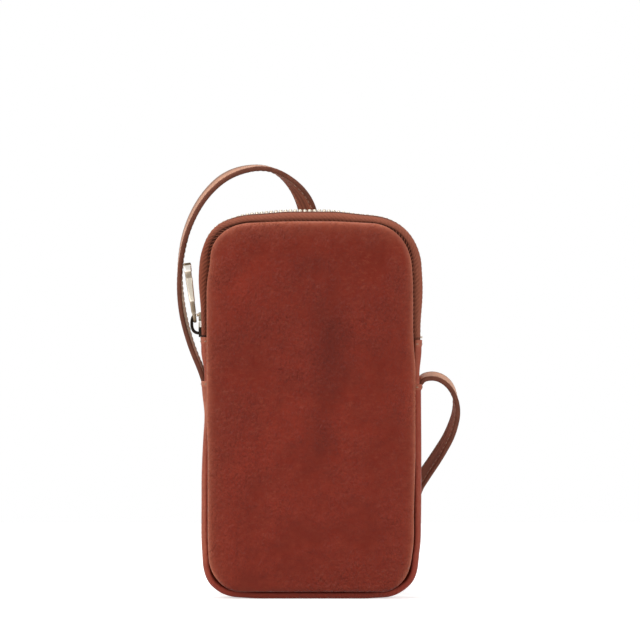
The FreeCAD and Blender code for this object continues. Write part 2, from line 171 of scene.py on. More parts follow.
# Darker, softly edged stains on the panels: centre, reach along each axis, strength
PANEL_STAINS = (
    ((0.0090, -0.013, 0.120), (0.013, 0.05, 0.034), 0.75),
    ((0.0050, -0.013, 0.080), (0.010, 0.05, 0.026), 0.55),
    ((-0.0020, -0.013, 0.160), (0.022, 0.05, 0.016), 0.35),
)


# Node helpers for the finishes, the floor and the world

class Nodes:
    """Short-hand for building the node tree of one material or of the world."""
    # Places of the colour sockets in a Mix node's lists
    FIRST_COLOUR = 6
    SECOND_COLOUR = 7
    MIXED_COLOUR = 2

    def __init__(self, holder, shader="Principled BSDF"):
        holder.use_nodes = True
        self.tree = holder.node_tree
        self.shader = self.tree.nodes[shader]

    def add(self, kind, settings=None, **inputs):
        """A new node with its settings, and with values or sockets for its inputs."""
        made = self.tree.nodes.new(kind)
        for key, value in (settings or {}).items():
            setattr(made, key, value)
        for key, value in inputs.items():
            self.put(made.inputs[key.replace("_", " ")], value)
        return made

    def put(self, socket, value):
        """Links a socket to another, or sets its value."""
        if isinstance(value, bpy.types.NodeSocket):
            self.tree.links.new(value, socket)
        else:
            socket.default_value = value

    def set(self, name, value):
        """Sets or links one input of the shader."""
        self.put(self.shader.inputs[name], value)

    def place(self, stretch=(1.0, 1.0, 1.0), source="Object"):
        """Coordinates on the piece, stretched along each axis."""
        coordinates = self.add("ShaderNodeTexCoord").outputs[source]
        return self.add("ShaderNodeMapping", Scale=stretch, Vector=coordinates).outputs["Vector"]

    def clouds(self, place, scale, detail, roughness=0.55):
        """Cloudy noise between 0 and 1."""
        made = self.add("ShaderNodeTexNoise", Vector=place, Scale=scale, Detail=detail, Roughness=roughness)
        return made.outputs["Fac"]

    def cells(self, place, scale):
        """Distance from the middle of small cells."""
        made = self.add("ShaderNodeTexVoronoi", Vector=place, Scale=scale)
        return made.outputs["Distance"]

    def attribute(self, name):
        """One of the mesh's own numbers, 0 where the mesh has none of that name."""
        made = self.add("ShaderNodeAttribute", {"attribute_name": name})
        return made.outputs["Fac"]

    def span(self, value, low, high, to_low=0.0, to_high=1.0, course="LINEAR"):
        """A value carried from one range to another, held at its ends."""
        made = self.add("ShaderNodeMapRange", {"interpolation_type": course}, Value=value,
                        From_Min=low, From_Max=high, To_Min=to_low, To_Max=to_high)
        return made.outputs["Result"]

    def mix(self, share, first, second):
        """First colour where share is 0, second where it is 1."""
        made = self.add("ShaderNodeMix", {"data_type": "RGBA"})
        self.put(made.inputs["Factor"], share)
        self.put(made.inputs[self.FIRST_COLOUR], first)
        self.put(made.inputs[self.SECOND_COLOUR], second)
        return made.outputs[self.MIXED_COLOUR]

    def choose(self, share, first, second):
        """First number where share is 0, second where it is 1."""
        return self.add("ShaderNodeMix", Factor=share, A=first, B=second).outputs["Result"]

    def looked_at(self):
        """1 where the camera, a reflection or something clear looks, 0 for other light."""
        ray = self.add("ShaderNodeLightPath").outputs
        seen = self.maths("MAXIMUM", ray["Is Camera Ray"], ray["Is Glossy Ray"])
        return self.maths("MAXIMUM", seen, ray["Is Transmission Ray"])

    def tint(self, tone, share, strength, colour):
        """A tone with another colour laid over it, by a share times a strength."""
        return self.mix(self.maths("MULTIPLY", share, strength), tone, colour)

    def soft_spot(self, centre, reach):
        """1 at a place on the object, fading to 0 at its reach along each axis."""
        shape = [1.0 / part for part in reach]
        shift = [-part * scale for part, scale in zip(centre, shape)]
        mapping = self.add("ShaderNodeMapping", Scale=shape, Location=shift,
                           Vector=self.add("ShaderNodeTexCoord").outputs["Object"])
        far = self.add("ShaderNodeVectorMath", {"operation": "LENGTH"}, Vector=mapping.outputs["Vector"])
        return self.span(far.outputs["Value"], 0.0, 1.0, 1.0, 0.0)

    def specks(self, stretch, scale, patch_scale):
        """Small grains, thicker in some patches than in others."""
        grains = self.span(self.clouds(self.place(stretch), scale, 3.0, 0.65), 0.54, 0.68)
        patch = self.span(self.clouds(self.place(), patch_scale, 2.0), 0.38, 0.70, 0.10, 1.0)
        return self.maths("MULTIPLY", grains, patch)

    def maths(self, operation, first, second):
        """Two values joined by one operation."""
        made = self.add("ShaderNodeMath", {"operation": operation})
        self.put(made.inputs[0], first)
        self.put(made.inputs[1], second)
        return made.outputs[0]

    def bump(self, height, distance, strength, below=None):
        """A relief on the surface, on top of the one below."""
        made = self.add("ShaderNodeBump", Height=height, Distance=distance, Strength=strength)
        if below is not None:
            self.put(made.inputs["Normal"], below)
        return made.outputs["Normal"]


def new_finish(name):
    """Nodes of a new material for a finish."""
    return Nodes(bpy.data.materials.new(name + "_finish"))


def rgba(values, shade=1.0):
    """A colour for a shader's socket, made darker or lighter by a shade."""
    return (shade * values[0], shade * values[1], shade * values[2], 1.0)


def leather_finish(name, tones, gloss, grain, stains=(), low_shade=0.0):
    """Waxed leather: cloudy patches and grains, stains, creases, and painted light and shade.

    Painted shade darkens it towards the base and in its grooves, and its rims are pale, partly as wear and
    partly as painted highlight. Tones are the main, dark, pale rim and groove shade colours, and each stain
    is a centre, a reach and a strength.
    """
    made = new_finish(name)
    main, dark, light, groove = tones
    place = made.place()
    patches = made.span(made.clouds(place, 42.0, 4.0, 0.6), 0.36, 0.66)
    mottle = made.span(made.clouds(place, 330.0, 6.0, 0.65), 0.35, 0.70)
    streaks = made.span(made.clouds(made.place((1.0, 1.0, 0.25)), 260.0, 5.0), 0.45, 0.75, 0.0, 0.5)
    broad = made.span(made.clouds(place, 17.0, 3.0, 0.5), 0.36, 0.64, 0.0, 0.75)
    deep = rgba(dark, 0.6)
    tone = made.mix(patches, rgba(dark), rgba(main, 1.08))
    tone = made.mix(broad, tone, rgba(dark))
    dark_grain = made.specks((1.0, 1.0, 1.0), 640.0, 47.0)
    pale_grain = made.specks((0.7, 1.0, 1.4), 560.0, 36.0)
    tone = made.tint(tone, dark_grain, 0.42 * grain, deep)
    tone = made.tint(tone, pale_grain, 0.12 * grain, rgba(light))
    tone = made.tint(tone, mottle, 0.06, rgba(light))
    tone = made.tint(tone, streaks, 0.45, rgba(dark))
    for centre, reach, strength in stains:
        tone = made.tint(tone, made.soft_spot(centre, reach), strength, deep)
    height = made.add("ShaderNodeSeparateXYZ", Vector=place).outputs["Z"]
    # Painted shade: darker towards the base, by low_shade
    tone = made.mix(made.span(height, 0.001, 0.018, low_shade, 0.0), tone, rgba(dark))
    # Pale rims: partly wear, partly painted highlight
    rim = made.maths("MULTIPLY", made.attribute("rim"), made.span(mottle, 0.0, 1.0, 0.7, 1.0))
    tone = made.mix(rim, tone, rgba(light))
    # Painted shade in the seams' grooves
    tone = made.mix(made.attribute("groove"), tone, rgba(groove))
    made.set("Base Color", tone)
    made.set("Roughness", made.span(mottle, 0.0, 1.0, gloss - 0.05, gloss + 0.08))
    made.set("Specular IOR Level", 0.15)
    pores = made.span(made.cells(place, 1500.0), 0.0, 0.6)
    worn = made.span(made.clouds(place, 44.0, 3.0, 0.6), 0.36, 0.72, 0.10, 1.0)
    creases = made.maths("MULTIPLY", made.clouds(made.place((1.2, 1.0, 0.85)), 680.0, 1.0, 0.5), worn)
    rough = made.bump(creases, 0.0021 * grain, 1.0)
    made.set("Normal", made.bump(pores, 0.00009 * grain, 0.45, rough))


def strap_finish(colours):
    """Strap leather: smooth faces, a streaky inside and edges in edge paint, with painted light and shade.

    The faces are pale partly as painted highlight and have a darker rim; the inside is darker partly as
    painted shade, and paler near the left root as painted highlight.
    """
    made = new_finish("strap_leather")
    place = made.place()
    mottle = made.span(made.clouds(place, 210.0, 6.0, 0.65), 0.32, 0.72)
    streaks = made.span(made.clouds(made.place((30.0, 900.0, 1.0), "UV"), 1.0, 3.0), 0.42, 0.68)
    # Outer faces: pale partly as painted highlight
    face = made.mix(mottle, rgba(colours.strap, 0.75), rgba(colours.strap))
    face = made.mix(made.attribute("rim"), face, rgba(colours.strap, 0.34))
    # Inner face: its own streaky tone, darker partly as painted shade
    flesh = made.mix(streaks, rgba(colours.strap_inside, 0.45), rgba(colours.strap_inside))
    # Painted highlight on the inner face near the left root
    flesh = made.mix(made.attribute("suede"), flesh, rgba(colours.strap_inside_highlight))
    edge = made.mix(mottle, rgba(colours.strap_edge), rgba(colours.strap_edge, 1.5))
    tone = made.mix(made.attribute("inner"), face, flesh)
    made.set("Base Color", made.mix(made.attribute("edge"), tone, edge))
    dull = made.maths("MAXIMUM", made.attribute("edge"), made.attribute("inner"))
    made.set("Roughness", made.span(dull, 0.0, 1.0, 0.42, 0.70))
    made.set("Specular IOR Level", 0.14)
    creases = made.clouds(place, 700.0, 5.0, 0.7)
    made.set("Normal", made.bump(creases, 0.00022, 0.4))


def thread_finish(name, colour):
    """Twisted thread."""
    made = new_finish(name)
    twist = made.add("ShaderNodeTexWave", {"bands_direction": "DIAGONAL"}, Vector=made.place(), Scale=900.0)
    made.set("Base Color", made.mix(twist.outputs["Fac"], rgba(colour, 0.6), rgba(colour)))
    made.set("Roughness", 0.55)
    made.set("Sheen Weight", 0.2)


def tape_finish(colours):
    """Woven tape: fine twill across the UV map, with a painted highlight at its rim and painted shade in its
    valleys.
    """
    made = new_finish("zip_tape")
    twill = made.add("ShaderNodeTexWave", {"bands_direction": "DIAGONAL"},
                     Vector=made.place((1.0, 1.0, 1.0), "UV"), Scale=1.0, Distortion=0.6, Detail=2.0)
    weave = twill.outputs["Fac"]
    fuzz = made.clouds(made.place(), 900.0, 3.0)
    tone = made.mix(weave, rgba(colours.tape, 0.62), rgba(colours.tape))
    tone = made.tint(tone, fuzz, 0.35, rgba(colours.tape, 1.5))
    # Painted highlight along the top, painted shade in the valleys
    tone = made.mix(made.attribute("rim"), tone, rgba(colours.tape_light))
    tone = made.mix(made.attribute("valley"), tone, rgba(colours.tape, 0.10))
    made.set("Base Color", tone)
    made.set("Roughness", 0.78)
    made.set("Specular IOR Level", 0.12)
    made.set("Sheen Weight", 0.05)
    made.set("Normal", made.bump(weave, 0.00012, 0.7))


# Steps of the painted reflection attribute, between a painted highlight at 0 and a painted dark reflection at
# 1
PLAIN = 0.12
DIM_REFLECTION = 0.80


def metal_finish(name, colours, roughness, shade, shine):
    """Plated metal, faintly cloudy, with painted reflections as its painted reflection attribute says: a
    painted highlight, plain metal, dim bands and dark parts.
    """
    made = new_finish(name)
    place = made.place((1.0, 1.0, 0.12))
    clouds = made.clouds(place, 600.0, 4.0)
    tarnish = made.attribute("tarnish")
    plain = made.mix(made.span(clouds, 0.3, 0.7, 0.0, 0.3), rgba(colours.metal, shade),
                     rgba(colours.metal, 0.8 * shade))
    # Painted highlight: the metal's colour lifted towards white by shine
    bright = [min(1.0, shade * (part + shine * (1.0 - part))) for part in colours.metal]
    tone = made.mix(made.span(tarnish, 0.0, PLAIN), rgba(bright), plain)
    tone = made.mix(made.span(tarnish, PLAIN, DIM_REFLECTION), tone, rgba(colours.metal_dim_reflection))
    made.set("Base Color", made.mix(made.span(tarnish, DIM_REFLECTION, 1.0), tone, rgba(colours.metal_dark_reflection)))
    made.set("Metallic", 1.0)
    made.set("Roughness", made.span(clouds, 0.3, 0.7, roughness, roughness + 0.08))
    made.set("Normal", made.bump(clouds, 0.00002, 0.3))


def lining_finish(colours):
    """Plain cotton: fine crossed threads."""
    made = new_finish("lining_cotton")
    place = made.place()
    warp, weft = [made.add("ShaderNodeTexWave", {"bands_direction": direction}, Vector=place, Scale=420.0,
                           Distortion=0.4).outputs["Fac"] for direction in ("X", "Z")]
    weave = made.maths("MULTIPLY", warp, weft)
    made.set("Base Color", made.mix(weave, rgba(colours.lining, 0.75), rgba(colours.lining)))
    made.set("Roughness", 0.85)
    made.set("Sheen Weight", 0.2)
    made.set("Normal", made.bump(weave, 0.00008, 0.6))


def finish(name):
    """The material of a finish."""
    return bpy.data.materials[name + "_finish"]


# Mesh helpers

def new_piece(name, mesh):
    """An object at the origin that shows a mesh."""
    piece = bpy.data.objects.new(name, mesh)
    bpy.context.scene.collection.objects.link(piece)
    return piece


def mark_points(mesh, name, values):
    """Gives a mesh one number per point, under a name that its finish reads."""
    mesh.attributes.new(name, "FLOAT", "POINT").data.foreach_set("value", values)


def mesh_from(name, points, faces, material, attributes=None, uvs=None):
    """A smooth mesh; attributes map a name to one number per point, uvs give one pair per point."""
    mesh = bpy.data.meshes.new(name)
    mesh.from_pydata([tuple(point) for point in points], [], faces)
    for key, values in (attributes or {}).items():
        mark_points(mesh, key, values)
    if uvs is not None:
        layer = mesh.uv_layers.new(name="UVMap")
        corners = [uvs[loop.vertex_index] for loop in mesh.loops]
        layer.data.foreach_set("uv", [part for corner in corners for part in corner])
    work = bmesh.new()
    work.from_mesh(mesh)
    bmesh.ops.remove_doubles(work, verts=work.verts, dist=1e-7)
    bmesh.ops.dissolve_degenerate(work, edges=work.edges, dist=1e-7)
    bmesh.ops.recalc_face_normals(work, faces=work.faces)
    work.to_mesh(mesh)
    work.free()
    mesh.materials.append(material)
    mesh.polygons.foreach_set("use_smooth", [True] * len(mesh.polygons))
    mesh.update()
    return mesh


def ring_faces(rows, columns, loop_rows=False):
    """Quads between neighbouring points of closed rings stored ring by ring."""
    faces = []
    for row in range(rows if loop_rows else rows - 1):
        following = (row + 1) % rows
        for column in range(columns):
            beside = (column + 1) % columns
            faces.append((row * columns + column, row * columns + beside,
                          following * columns + beside, following * columns + column))
    return faces


def mirrored(pairs):
    """The same pairs with the second number turned round, in reverse order."""
    return [(first, -second) for first, second in reversed(pairs)]


def tube_faces(rows, columns):
    """Faces of a tube of closed rings, with a cap at each end."""
    faces = ring_faces(rows, columns)
    faces.append(tuple(range(columns)))
    faces.append(tuple((rows - 1) * columns + column for column in reversed(range(columns))))
    return faces


def oval_section(corners, half_width, half_depth, width_power, depth_power, first=0.0):
    """Points round an oval, which powers below 1 square up; first turns it by a share of a corner."""
    section = []
    for corner in range(corners):
        angle = 2 * math.pi * (corner + first) / corners
        across, out = math.cos(angle), math.sin(angle)
        section.append((half_width * math.copysign(abs(across) ** width_power, across),
                        half_depth * math.copysign(abs(out) ** depth_power, out)))
    return section


def mesh_of(work, name, smooth=False):
    """A plain mesh made of a finished bmesh, which is then freed."""
    for face in work.faces:
        face.smooth = smooth
    mesh = bpy.data.meshes.new(name)
    work.to_mesh(mesh)
    work.free()
    return mesh


def drop(piece):
    """Takes away a piece that only served to make another."""
    mesh = piece.data
    bpy.data.objects.remove(piece)
    bpy.data.meshes.remove(mesh)


def settle(piece):
    """Turns a piece's modifiers into a plain mesh."""
    bpy.context.view_layer.update()
    graph = bpy.context.evaluated_depsgraph_get()
    mesh = bpy.data.meshes.new_from_object(piece.evaluated_get(graph))
    piece.modifiers.clear()
    old = piece.data
    piece.data = mesh
    mesh.name = piece.name
    bpy.data.meshes.remove(old)


# Soft steps

def smooth_step(value, low, high):
    """0 below low, rising softly to 1 at high."""
    share = min(1.0, max(0.0, (value - low) / (high - low)))
    return share * share * (3.0 - 2.0 * share)


def fade(value, low, high):
    """1 below low, falling softly to 0 at high."""
    return 1.0 - smooth_step(value, low, high)


def plateau(value, rise, fall):
    """0, then 1 after the span in which it rises, then 0 after the span in which it falls."""
    return smooth_step(value, *rise) * fade(value, *fall)


def bell(value, centre, width):
    """1 at the centre, falling to about a third at a width from it."""
    return math.exp(-((value - centre) / width) ** 2)


def waves(x, y, z, size):
    """Soft unevenness between -1 and 1, the same at every run."""
    return noise.noise(Vector((x, y, z)) / size)


# Outlines in the XZ plane, as marks: pairs of a point and its outward normal

# Spans of the distance from the middle or of the height in which the outline leaves its plain shape
SIDES = (0.030, 0.048)
TOP_EDGE = (0.150, 0.172)
TOP_BOW = (0.008, 0.033)
TOP_LEFT_CORNER = (0.036, 0.050)
BASE_EDGE = (0.002, 0.010)
BASE_BOW = (0.024, 0.040)
BASE_TAPER = (0.008, 0.032)


def arc_points(centre, radius, start, sweep, step):
    """Marks round an arc, in degrees, without its last point."""
    count = max(3, round(abs(math.radians(sweep)) * radius / step))
    marks = []
    for index in range(count):
        angle = math.radians(start + sweep * index / count)
        normal = Vector((math.cos(angle), 0.0, math.sin(angle)))
        marks.append((Vector((centre[0], 0.0, centre[1])) + normal * radius, normal))
    return marks


def straight_points(begin, end, normal, step):
    """Marks along a straight line, without its last point."""
    begin, end = Vector((begin[0], 0.0, begin[1])), Vector((end[0], 0.0, end[1]))
    count = max(2, round((end - begin).length / step))
    return [(begin.lerp(end, index / count), Vector((normal[0], 0.0, normal[1]))) for index in range(count)]


def bowed(marks, left, right, keep_left=False):
    """The same marks with the top edge sinking towards its corners, but not at the left one if it is kept."""
    for point, _ in marks:
        reach = abs(point.x)
        sink = left if point.x < 0 else right
        if keep_left and point.x < 0:
            sink *= fade(reach, *TOP_LEFT_CORNER)
        point.z -= sink * smooth_step(reach, *TOP_BOW) * smooth_step(point.z, *TOP_EDGE)
    return marks


def drawn_in(marks, draw):
    """The same marks with the two sides moved inwards by draw(point)."""
    for point, _ in marks:
        side = 1.0 if point.x > 0 else -1.0
        point.x -= side * draw(point) * smooth_step(abs(point.x), *SIDES)
    return marks


def corner_push(normal):
    """1 at the middle of a round corner, 0 at both its ends."""
    return (2.0 * normal.x * normal.z) ** 2


def filled_out(marks, left, right):
    """The same marks with the two top corners pushed outwards."""
    for point, normal in marks:
        if normal.z > 0.0:
            point += normal * ((left if normal.x < 0 else right) * corner_push(normal))
    return marks


def rounded_base(marks):
    """The same marks with the base curving up a little towards its corners and the left corner filled out."""
    for point, normal in marks:
        if normal.x < 0.0 and normal.z < 0.0:
            point += normal * (0.0005 * corner_push(normal))
        point.z += 0.0007 * fade(point.z, *BASE_EDGE) * smooth_step(abs(point.x), *BASE_BOW)
    return marks


def base_draw(point):
    """The outline narrows a little towards the base."""
    taper = fade(point.z, *BASE_TAPER)
    if point.x < 0:
        return 0.0009 * taper
    return 0.0011 * taper + 0.0006 * bell(point.z, 0.017, 0.007)


def panel_draw(point):
    """The panel narrows towards the base, under its top corners and along the zip on the right."""
    draw = base_draw(point)
    if point.x < 0:
        draw += 0.0010 * bell(point.z, 0.161, 0.006)
        draw -= 0.0005 * plateau(point.z, (0.070, 0.092), (0.146, 0.158))
        return draw - 0.0001
    draw += 0.0008 * smooth_step(point.z, 0.110, 0.130) + 0.0007 * bell(point.z, 0.162, 0.008)
    draw -= 0.0003 * plateau(point.z, (0.055, 0.070), (0.108, 0.120))
    return draw + 0.0004 * fade(point.z, 0.040, 0.060)


def closed_outline(half, low, high, low_radius, high_radius, step):
    """Marks round a rectangle with rounded corners."""
    return (
        straight_points((-half + low_radius, low), (half - low_radius, low), (0, -1), step)
        + arc_points((half - low_radius, low + low_radius), low_radius, -90, 90, step)
        + straight_points((half, low + low_radius), (half, high - high_radius), (1, 0), step)
        + arc_points((half - high_radius, high - high_radius), high_radius, 0, 90, step)
        + straight_points((half - high_radius, high), (-half + high_radius, high), (0, 1), step)
        + arc_points((-half + high_radius, high - high_radius), high_radius, 90, 90, step)
        + straight_points((-half, high - high_radius), (-half, low + low_radius), (-1, 0), step)
        + arc_points((-half + low_radius, low + low_radius), low_radius, 180, 90, step)
    )


def base_run(half, left_high, right_high, radius, step):
    """From the left side's top end down, along the base and up the right side."""
    return (
        straight_points((-half, left_high), (-half, radius), (-1, 0), step)
        + arc_points((-half + radius, radius), radius, 180, 90, step)
        + straight_points((-half + radius, 0), (half - radius, 0), (0, -1), step)
        + arc_points((half - radius, radius), radius, -90, 90, step)
        + straight_points((half, radius), (half, right_high), (1, 0), step)
        + [(Vector((half, 0.0, right_high)), Vector((1, 0, 0)))]
    )


def zip_run(half, low, high, radius, step):
    """From the left side's low end up, over the top and down the right side."""
    return (
        straight_points((-half, low), (-half, high - radius), (-1, 0), step)
        + arc_points((-half + radius, high - radius), radius, 180, -90, step)
        + straight_points((-half + radius, high), (half - radius, high), (0, 1), step)
        + arc_points((half - radius, high - radius), radius, 90, -90, step)
        + straight_points((half, high - radius), (half, low), (1, 0), step)
        + [(Vector((half, 0.0, low)), Vector((1, 0, 0)))]
    )


def swept_band(name, marks, section, material, rim=None, uvs=None, valley=None, groove=None):
    """A closed section carried along marks. section(index, point, normal) gives (inset, y) pairs."""
    points = []
    rims = []
    valleys = []
    grooves = []
    rings = [section(index, point, normal) for index, (point, normal) in enumerate(marks)]
    rows, columns = len(rings), len(rings[0])
    for index, (point, normal) in enumerate(marks):
        for column, (inset, depth) in enumerate(rings[index]):
            points.append(point - normal * inset + Vector((0.0, depth, 0.0)))
            # Painted shade on the band where it meets the panel's seam
            depth_share = groove(point) if groove else 1.0
            grooves.append(depth_share * smooth_step(inset, SEAM_INSET - 0.0011, SEAM_INSET - 0.0001))
            rims.append(rim(column, point) if rim else 0.0)
            valleys.append(valley(index, column) if valley else 0.0)
    attributes = {"rim": rims, "groove": grooves}
    if valley:
        attributes["valley"] = valleys
    pairs = None
    if uvs:
        pairs = [uvs(index, column) for index in range(rows) for column in range(columns)]
    return mesh_from(name, points, tube_faces(rows, columns), material, attributes, pairs)


# Repeats along a line: teeth and stitches

def repeat_tree():
    """Geometry nodes that set one piece at a steady pitch along a line, standing on its facing attribute."""
    tree = bpy.data.node_groups.new("repeat_along_line", "GeometryNodeTree")
    for name, kind in (("Line", "Geometry"), ("Pitch", "Float"), ("Piece", "Object"), ("Finish", "Material")):
        tree.interface.new_socket(name, in_out="INPUT", socket_type="NodeSocket" + kind)
    tree.interface.new_socket("Row", in_out="OUTPUT", socket_type="NodeSocketGeometry")
    add = tree.nodes.new
    given = add("NodeGroupInput")
    row = add("NodeGroupOutput")
    curve = add("GeometryNodeMeshToCurve")
    spaced = add("GeometryNodeResampleCurve")
    spaced.mode = "LENGTH"
    tangent = add("GeometryNodeInputTangent")
    facing = add("GeometryNodeInputNamedAttribute")
    facing.data_type = "FLOAT_VECTOR"
    facing.inputs["Name"].default_value = "facing"
    along = add("FunctionNodeAlignRotationToVector")
    along.axis = "X"
    upright = add("FunctionNodeAlignRotationToVector")
    upright.axis = "Z"
    upright.pivot_axis = "X"
    info = add("GeometryNodeObjectInfo")
    placed = add("GeometryNodeInstanceOnPoints")
    real = add("GeometryNodeRealizeInstances")
    dressed = add("GeometryNodeSetMaterial")
    links = (
        (given, "Line", curve, "Mesh"), (curve, "Curve", spaced, "Curve"), (given, "Pitch", spaced, "Length"),
        (spaced, "Curve", placed, "Points"), (tangent, "Tangent", along, "Vector"),
        (along, "Rotation", upright, "Rotation"), (facing, "Attribute", upright, "Vector"),
        (upright, "Rotation", placed, "Rotation"), (given, "Piece", info, "Object"),
        (info, "Geometry", placed, "Instance"), (placed, "Instances", real, "Geometry"),
        (real, "Geometry", dressed, "Geometry"), (given, "Finish", dressed, "Material"),
        (dressed, "Geometry", row, "Row"),
    )
    for source, output, target, socket in links:
        tree.links.new(source.outputs[output], target.inputs[socket])
    return tree


def repeated(name, lines, pitch, prototype, material):
    """Rows of the prototype along lines of (point, facing) pairs, as one plain mesh."""
    points = []
    edges = []
    facings = []
    for line in lines:
        first = len(points)
        for point, facing in line:
            points.append(tuple(point))
            facings.extend(facing)
        edges.extend((first + index, first + index + 1) for index in range(len(line) - 1))
    mesh = bpy.data.meshes.new(name)
    mesh.from_pydata(points, edges, [])
    layer = mesh.attributes.new("facing", "FLOAT_VECTOR", "POINT")
    layer.data.foreach_set("vector", facings)
    piece = new_piece(name, mesh)
    tree = bpy.data.node_groups.get("repeat_along_line") or repeat_tree()
    modifier = piece.modifiers.new("Repeat", "NODES")
    modifier.node_group = tree
    values = {"Pitch": pitch, "Piece": prototype, "Finish": material}
    for item in tree.interface.items_tree:
        if item.in_out == "INPUT" and item.name in values:
            modifier[item.identifier] = values[item.name]
    settle(piece)
    return piece


def stitch_prototype(span, width, height):
    """One stitch: a short thread that dips into the leather at both ends."""
    work = bmesh.new()
    bmesh.ops.create_uvsphere(work, u_segments=8, v_segments=5, radius=0.5)
    bmesh.ops.rotate(work, verts=work.verts, matrix=Matrix.Rotation(math.pi / 2, 3, "Y"))
    bmesh.ops.scale(work, verts=work.verts, vec=(span, width, height))
    return new_piece("stitch", mesh_of(work, "stitch", smooth=True))


def stitched(name, lines, pitch, stitch_size, material):
    """Rows of stitches of one size along lines of (point, facing) pairs."""
    stitch = stitch_prototype(*stitch_size)
    piece = repeated(name, lines, pitch, stitch, finish(material))
    drop(stitch)
    return piece


# Panels

def seam_allowance(point):
    """How far the panel's turned-in edge reaches behind the gusset to close the seam; nothing at the zip."""
    return 0.0024 * fade(point.z, 0.112, 0.121)


def spine_point(point):
    """The point of the panel's upright middle line to which a mark's rings shrink."""
    return Vector((0.0, 0.0, min(PANEL_HIGH.z - PANEL_HALF, max(PANEL_LOW.z + PANEL_HALF, point.z))))


def panel_points(sizes, marks, side):
    """Rings of a panel from the middle of its inside, round its rolled edge, to the middle of its front.

    The second list holds a pair for each ring: whether it shows, and how far it lies from the edge.
    """
    roll = sizes.panel_roll
    front = FACE - 0.0002
    inner = FACE - sizes.leather
    # Inset, depth and share of the seam allowance of each ring of the turned-in edge
    tuck = [(0.0048, inner, 0.0), (0.0042, inner - 0.0002, 0.0), (0.0036, inner - 0.0008, 0.0),
            (0.0032, SEAM + 0.0003, 0.0), (0.0031, SEAM - 0.0002, 0.9), (0.0026, SEAM - 0.0004, 1.0),
            (0.0021, SEAM - 0.0004, 0.9), (0.0018, SEAM - 0.0004, 0.0), (0.0006, SEAM - 0.0001, 0.0),
            (0.00012, SEAM + 0.0005, 0.0)]
    shoulder = SEAM + 0.0009
    rolled = []
    for degrees in range(0, 91, 10):
        angle = math.radians(degrees)
        depth = shoulder + (front - shoulder) * math.sin(angle)
        rolled.append((roll * (1 - math.cos(angle)), depth, 0.0))
    rings = []
    rims = []

    def inward(share, depth):
        """A ring that has shrunk by a share towards the middle line; the front ones swell."""
        ring = []
        for point, normal in marks:
            start = point - normal * roll
            place = start.lerp(spine_point(point), share)
            gone = (start - place).length
            swell = sizes.panel_crown * smooth_step(gone, 0.0, sizes.panel_swell)
            swell += sizes.unevenness * waves(place.x, side, place.z, 0.024) * smooth_step(gone, 0.0, 0.008)
            ring.append(Vector((place.x, side * (depth + (swell if depth > inner else 0.0)), place.z)))
        return ring

    inner_shares = [1.0, 0.8, 0.6, 0.4, 0.2, 0.06]
    outer_shares = [0.01, 0.03, 0.06, 0.10, 0.15, 0.21, 0.28, 0.37, 0.47, 0.58, 0.70, 0.85, 1.0]
    for share in inner_shares:
        rings.append(inward(share, inner))
        rims.append((0.0, 0.0))
    for inset, depth, sunk in tuck + rolled:
        rings.append([Vector((point.x - normal.x * inset, side * (depth - sunk * seam_allowance(point)),
                              point.z - normal.z * inset)) for point, normal in marks])
        rims.append((smooth_step(depth, SEAM, shoulder), inset))
    for share in outer_shares:
        rings.append(inward(share, front))
        rims.append((1.0, roll + share * PANEL_HALF))
    return rings, rims


def rim_wear_and_highlight(share, inset, thin, wide):
    """How pale the leather is at an inset from the panel's edge: a thin line and a wide soft border, partly
    wear and partly painted highlight.
    """
    line_width, border_width = 0.0008, 0.0035
    return share * min(1.0, thin * math.exp(-inset / line_width) + wide * math.exp(-inset / border_width))


def rim_weights(point, normal):
    """Strength of the panel's thin and wide pale borders, least at the base and at the top right corner; as
    painted highlight they are weakest along the base, which faces down, and widest along the top.
    """
    facing = (0.5, 1.0)
    base = smooth_step(-normal.z, *facing)
    top = smooth_step(normal.z, *facing)
    lower_left = smooth_step(-normal.x, *facing) * fade(point.z, 0.105, 0.125)
    right = smooth_step(normal.x, *facing)
    corner = smooth_step(normal.x, 0.3, 0.6) * smooth_step(normal.z, 0.3, 0.6)
    thin = 0.75 * (1.0 - 0.9 * base + 0.15 * top + 0.5 * lower_left + 0.45 * right - 0.6 * corner)
    wide = 0.30 * (1.0 - 0.85 * base + 0.6 * top - 0.45 * right)
    return thin, wide


def seam_shade(point):
    """Darkness of the seam's groove: the seam closes up beside the gusset's upper part and the tabs."""
    low = 0.045 if point.x < 0 else 0.060
    return 1.0 - 0.85 * plateau(point.z, (low, low + 0.018), (0.119, 0.126))


def make_panel(sizes, name, side):
    """One leather panel; side is -1 for the front and 1 for the back."""
    outline = closed_outline(PANEL_HALF, PANEL_LOW.z, PANEL_HIGH.z + 0.0003, sizes.panel_base_radius,
                             sizes.panel_top_radius, 0.0016)
    marks = filled_out(drawn_in(bowed(outline, 0.0007, 0.0009), panel_draw), 0.0006, -0.0002)
    rings, rims = panel_points(sizes, marks, side)
    points = [point for ring in rings for point in ring]
    weights = [rim_weights(point, normal) for point, normal in marks]
    pale = [rim_wear_and_highlight(share, inset, thin, wide) for share, inset in rims for thin, wide in weights]
    faces = ring_faces(len(rings), len(marks))
    shaded = []
    for ring, (share, inset) in zip(rings, rims):
        for point, (mark, normal) in zip(ring, marks):
            # Painted shade in the seam's groove, and on the rolled edge along the base, which faces down
            seam = seam_shade(mark) * fade(abs(point.y), SEAM + 0.0002, SEAM + 0.0009)
            under = 0.80 * share * smooth_step(-normal.z, 0.6, 1.0) * fade(inset, 0.0001, 0.0009)
            shaded.append(max(seam, under))
    mesh = mesh_from(name, points, faces, finish("panel_leather"), {"rim": pale, "groove": shaded})
    return new_piece(name, mesh)


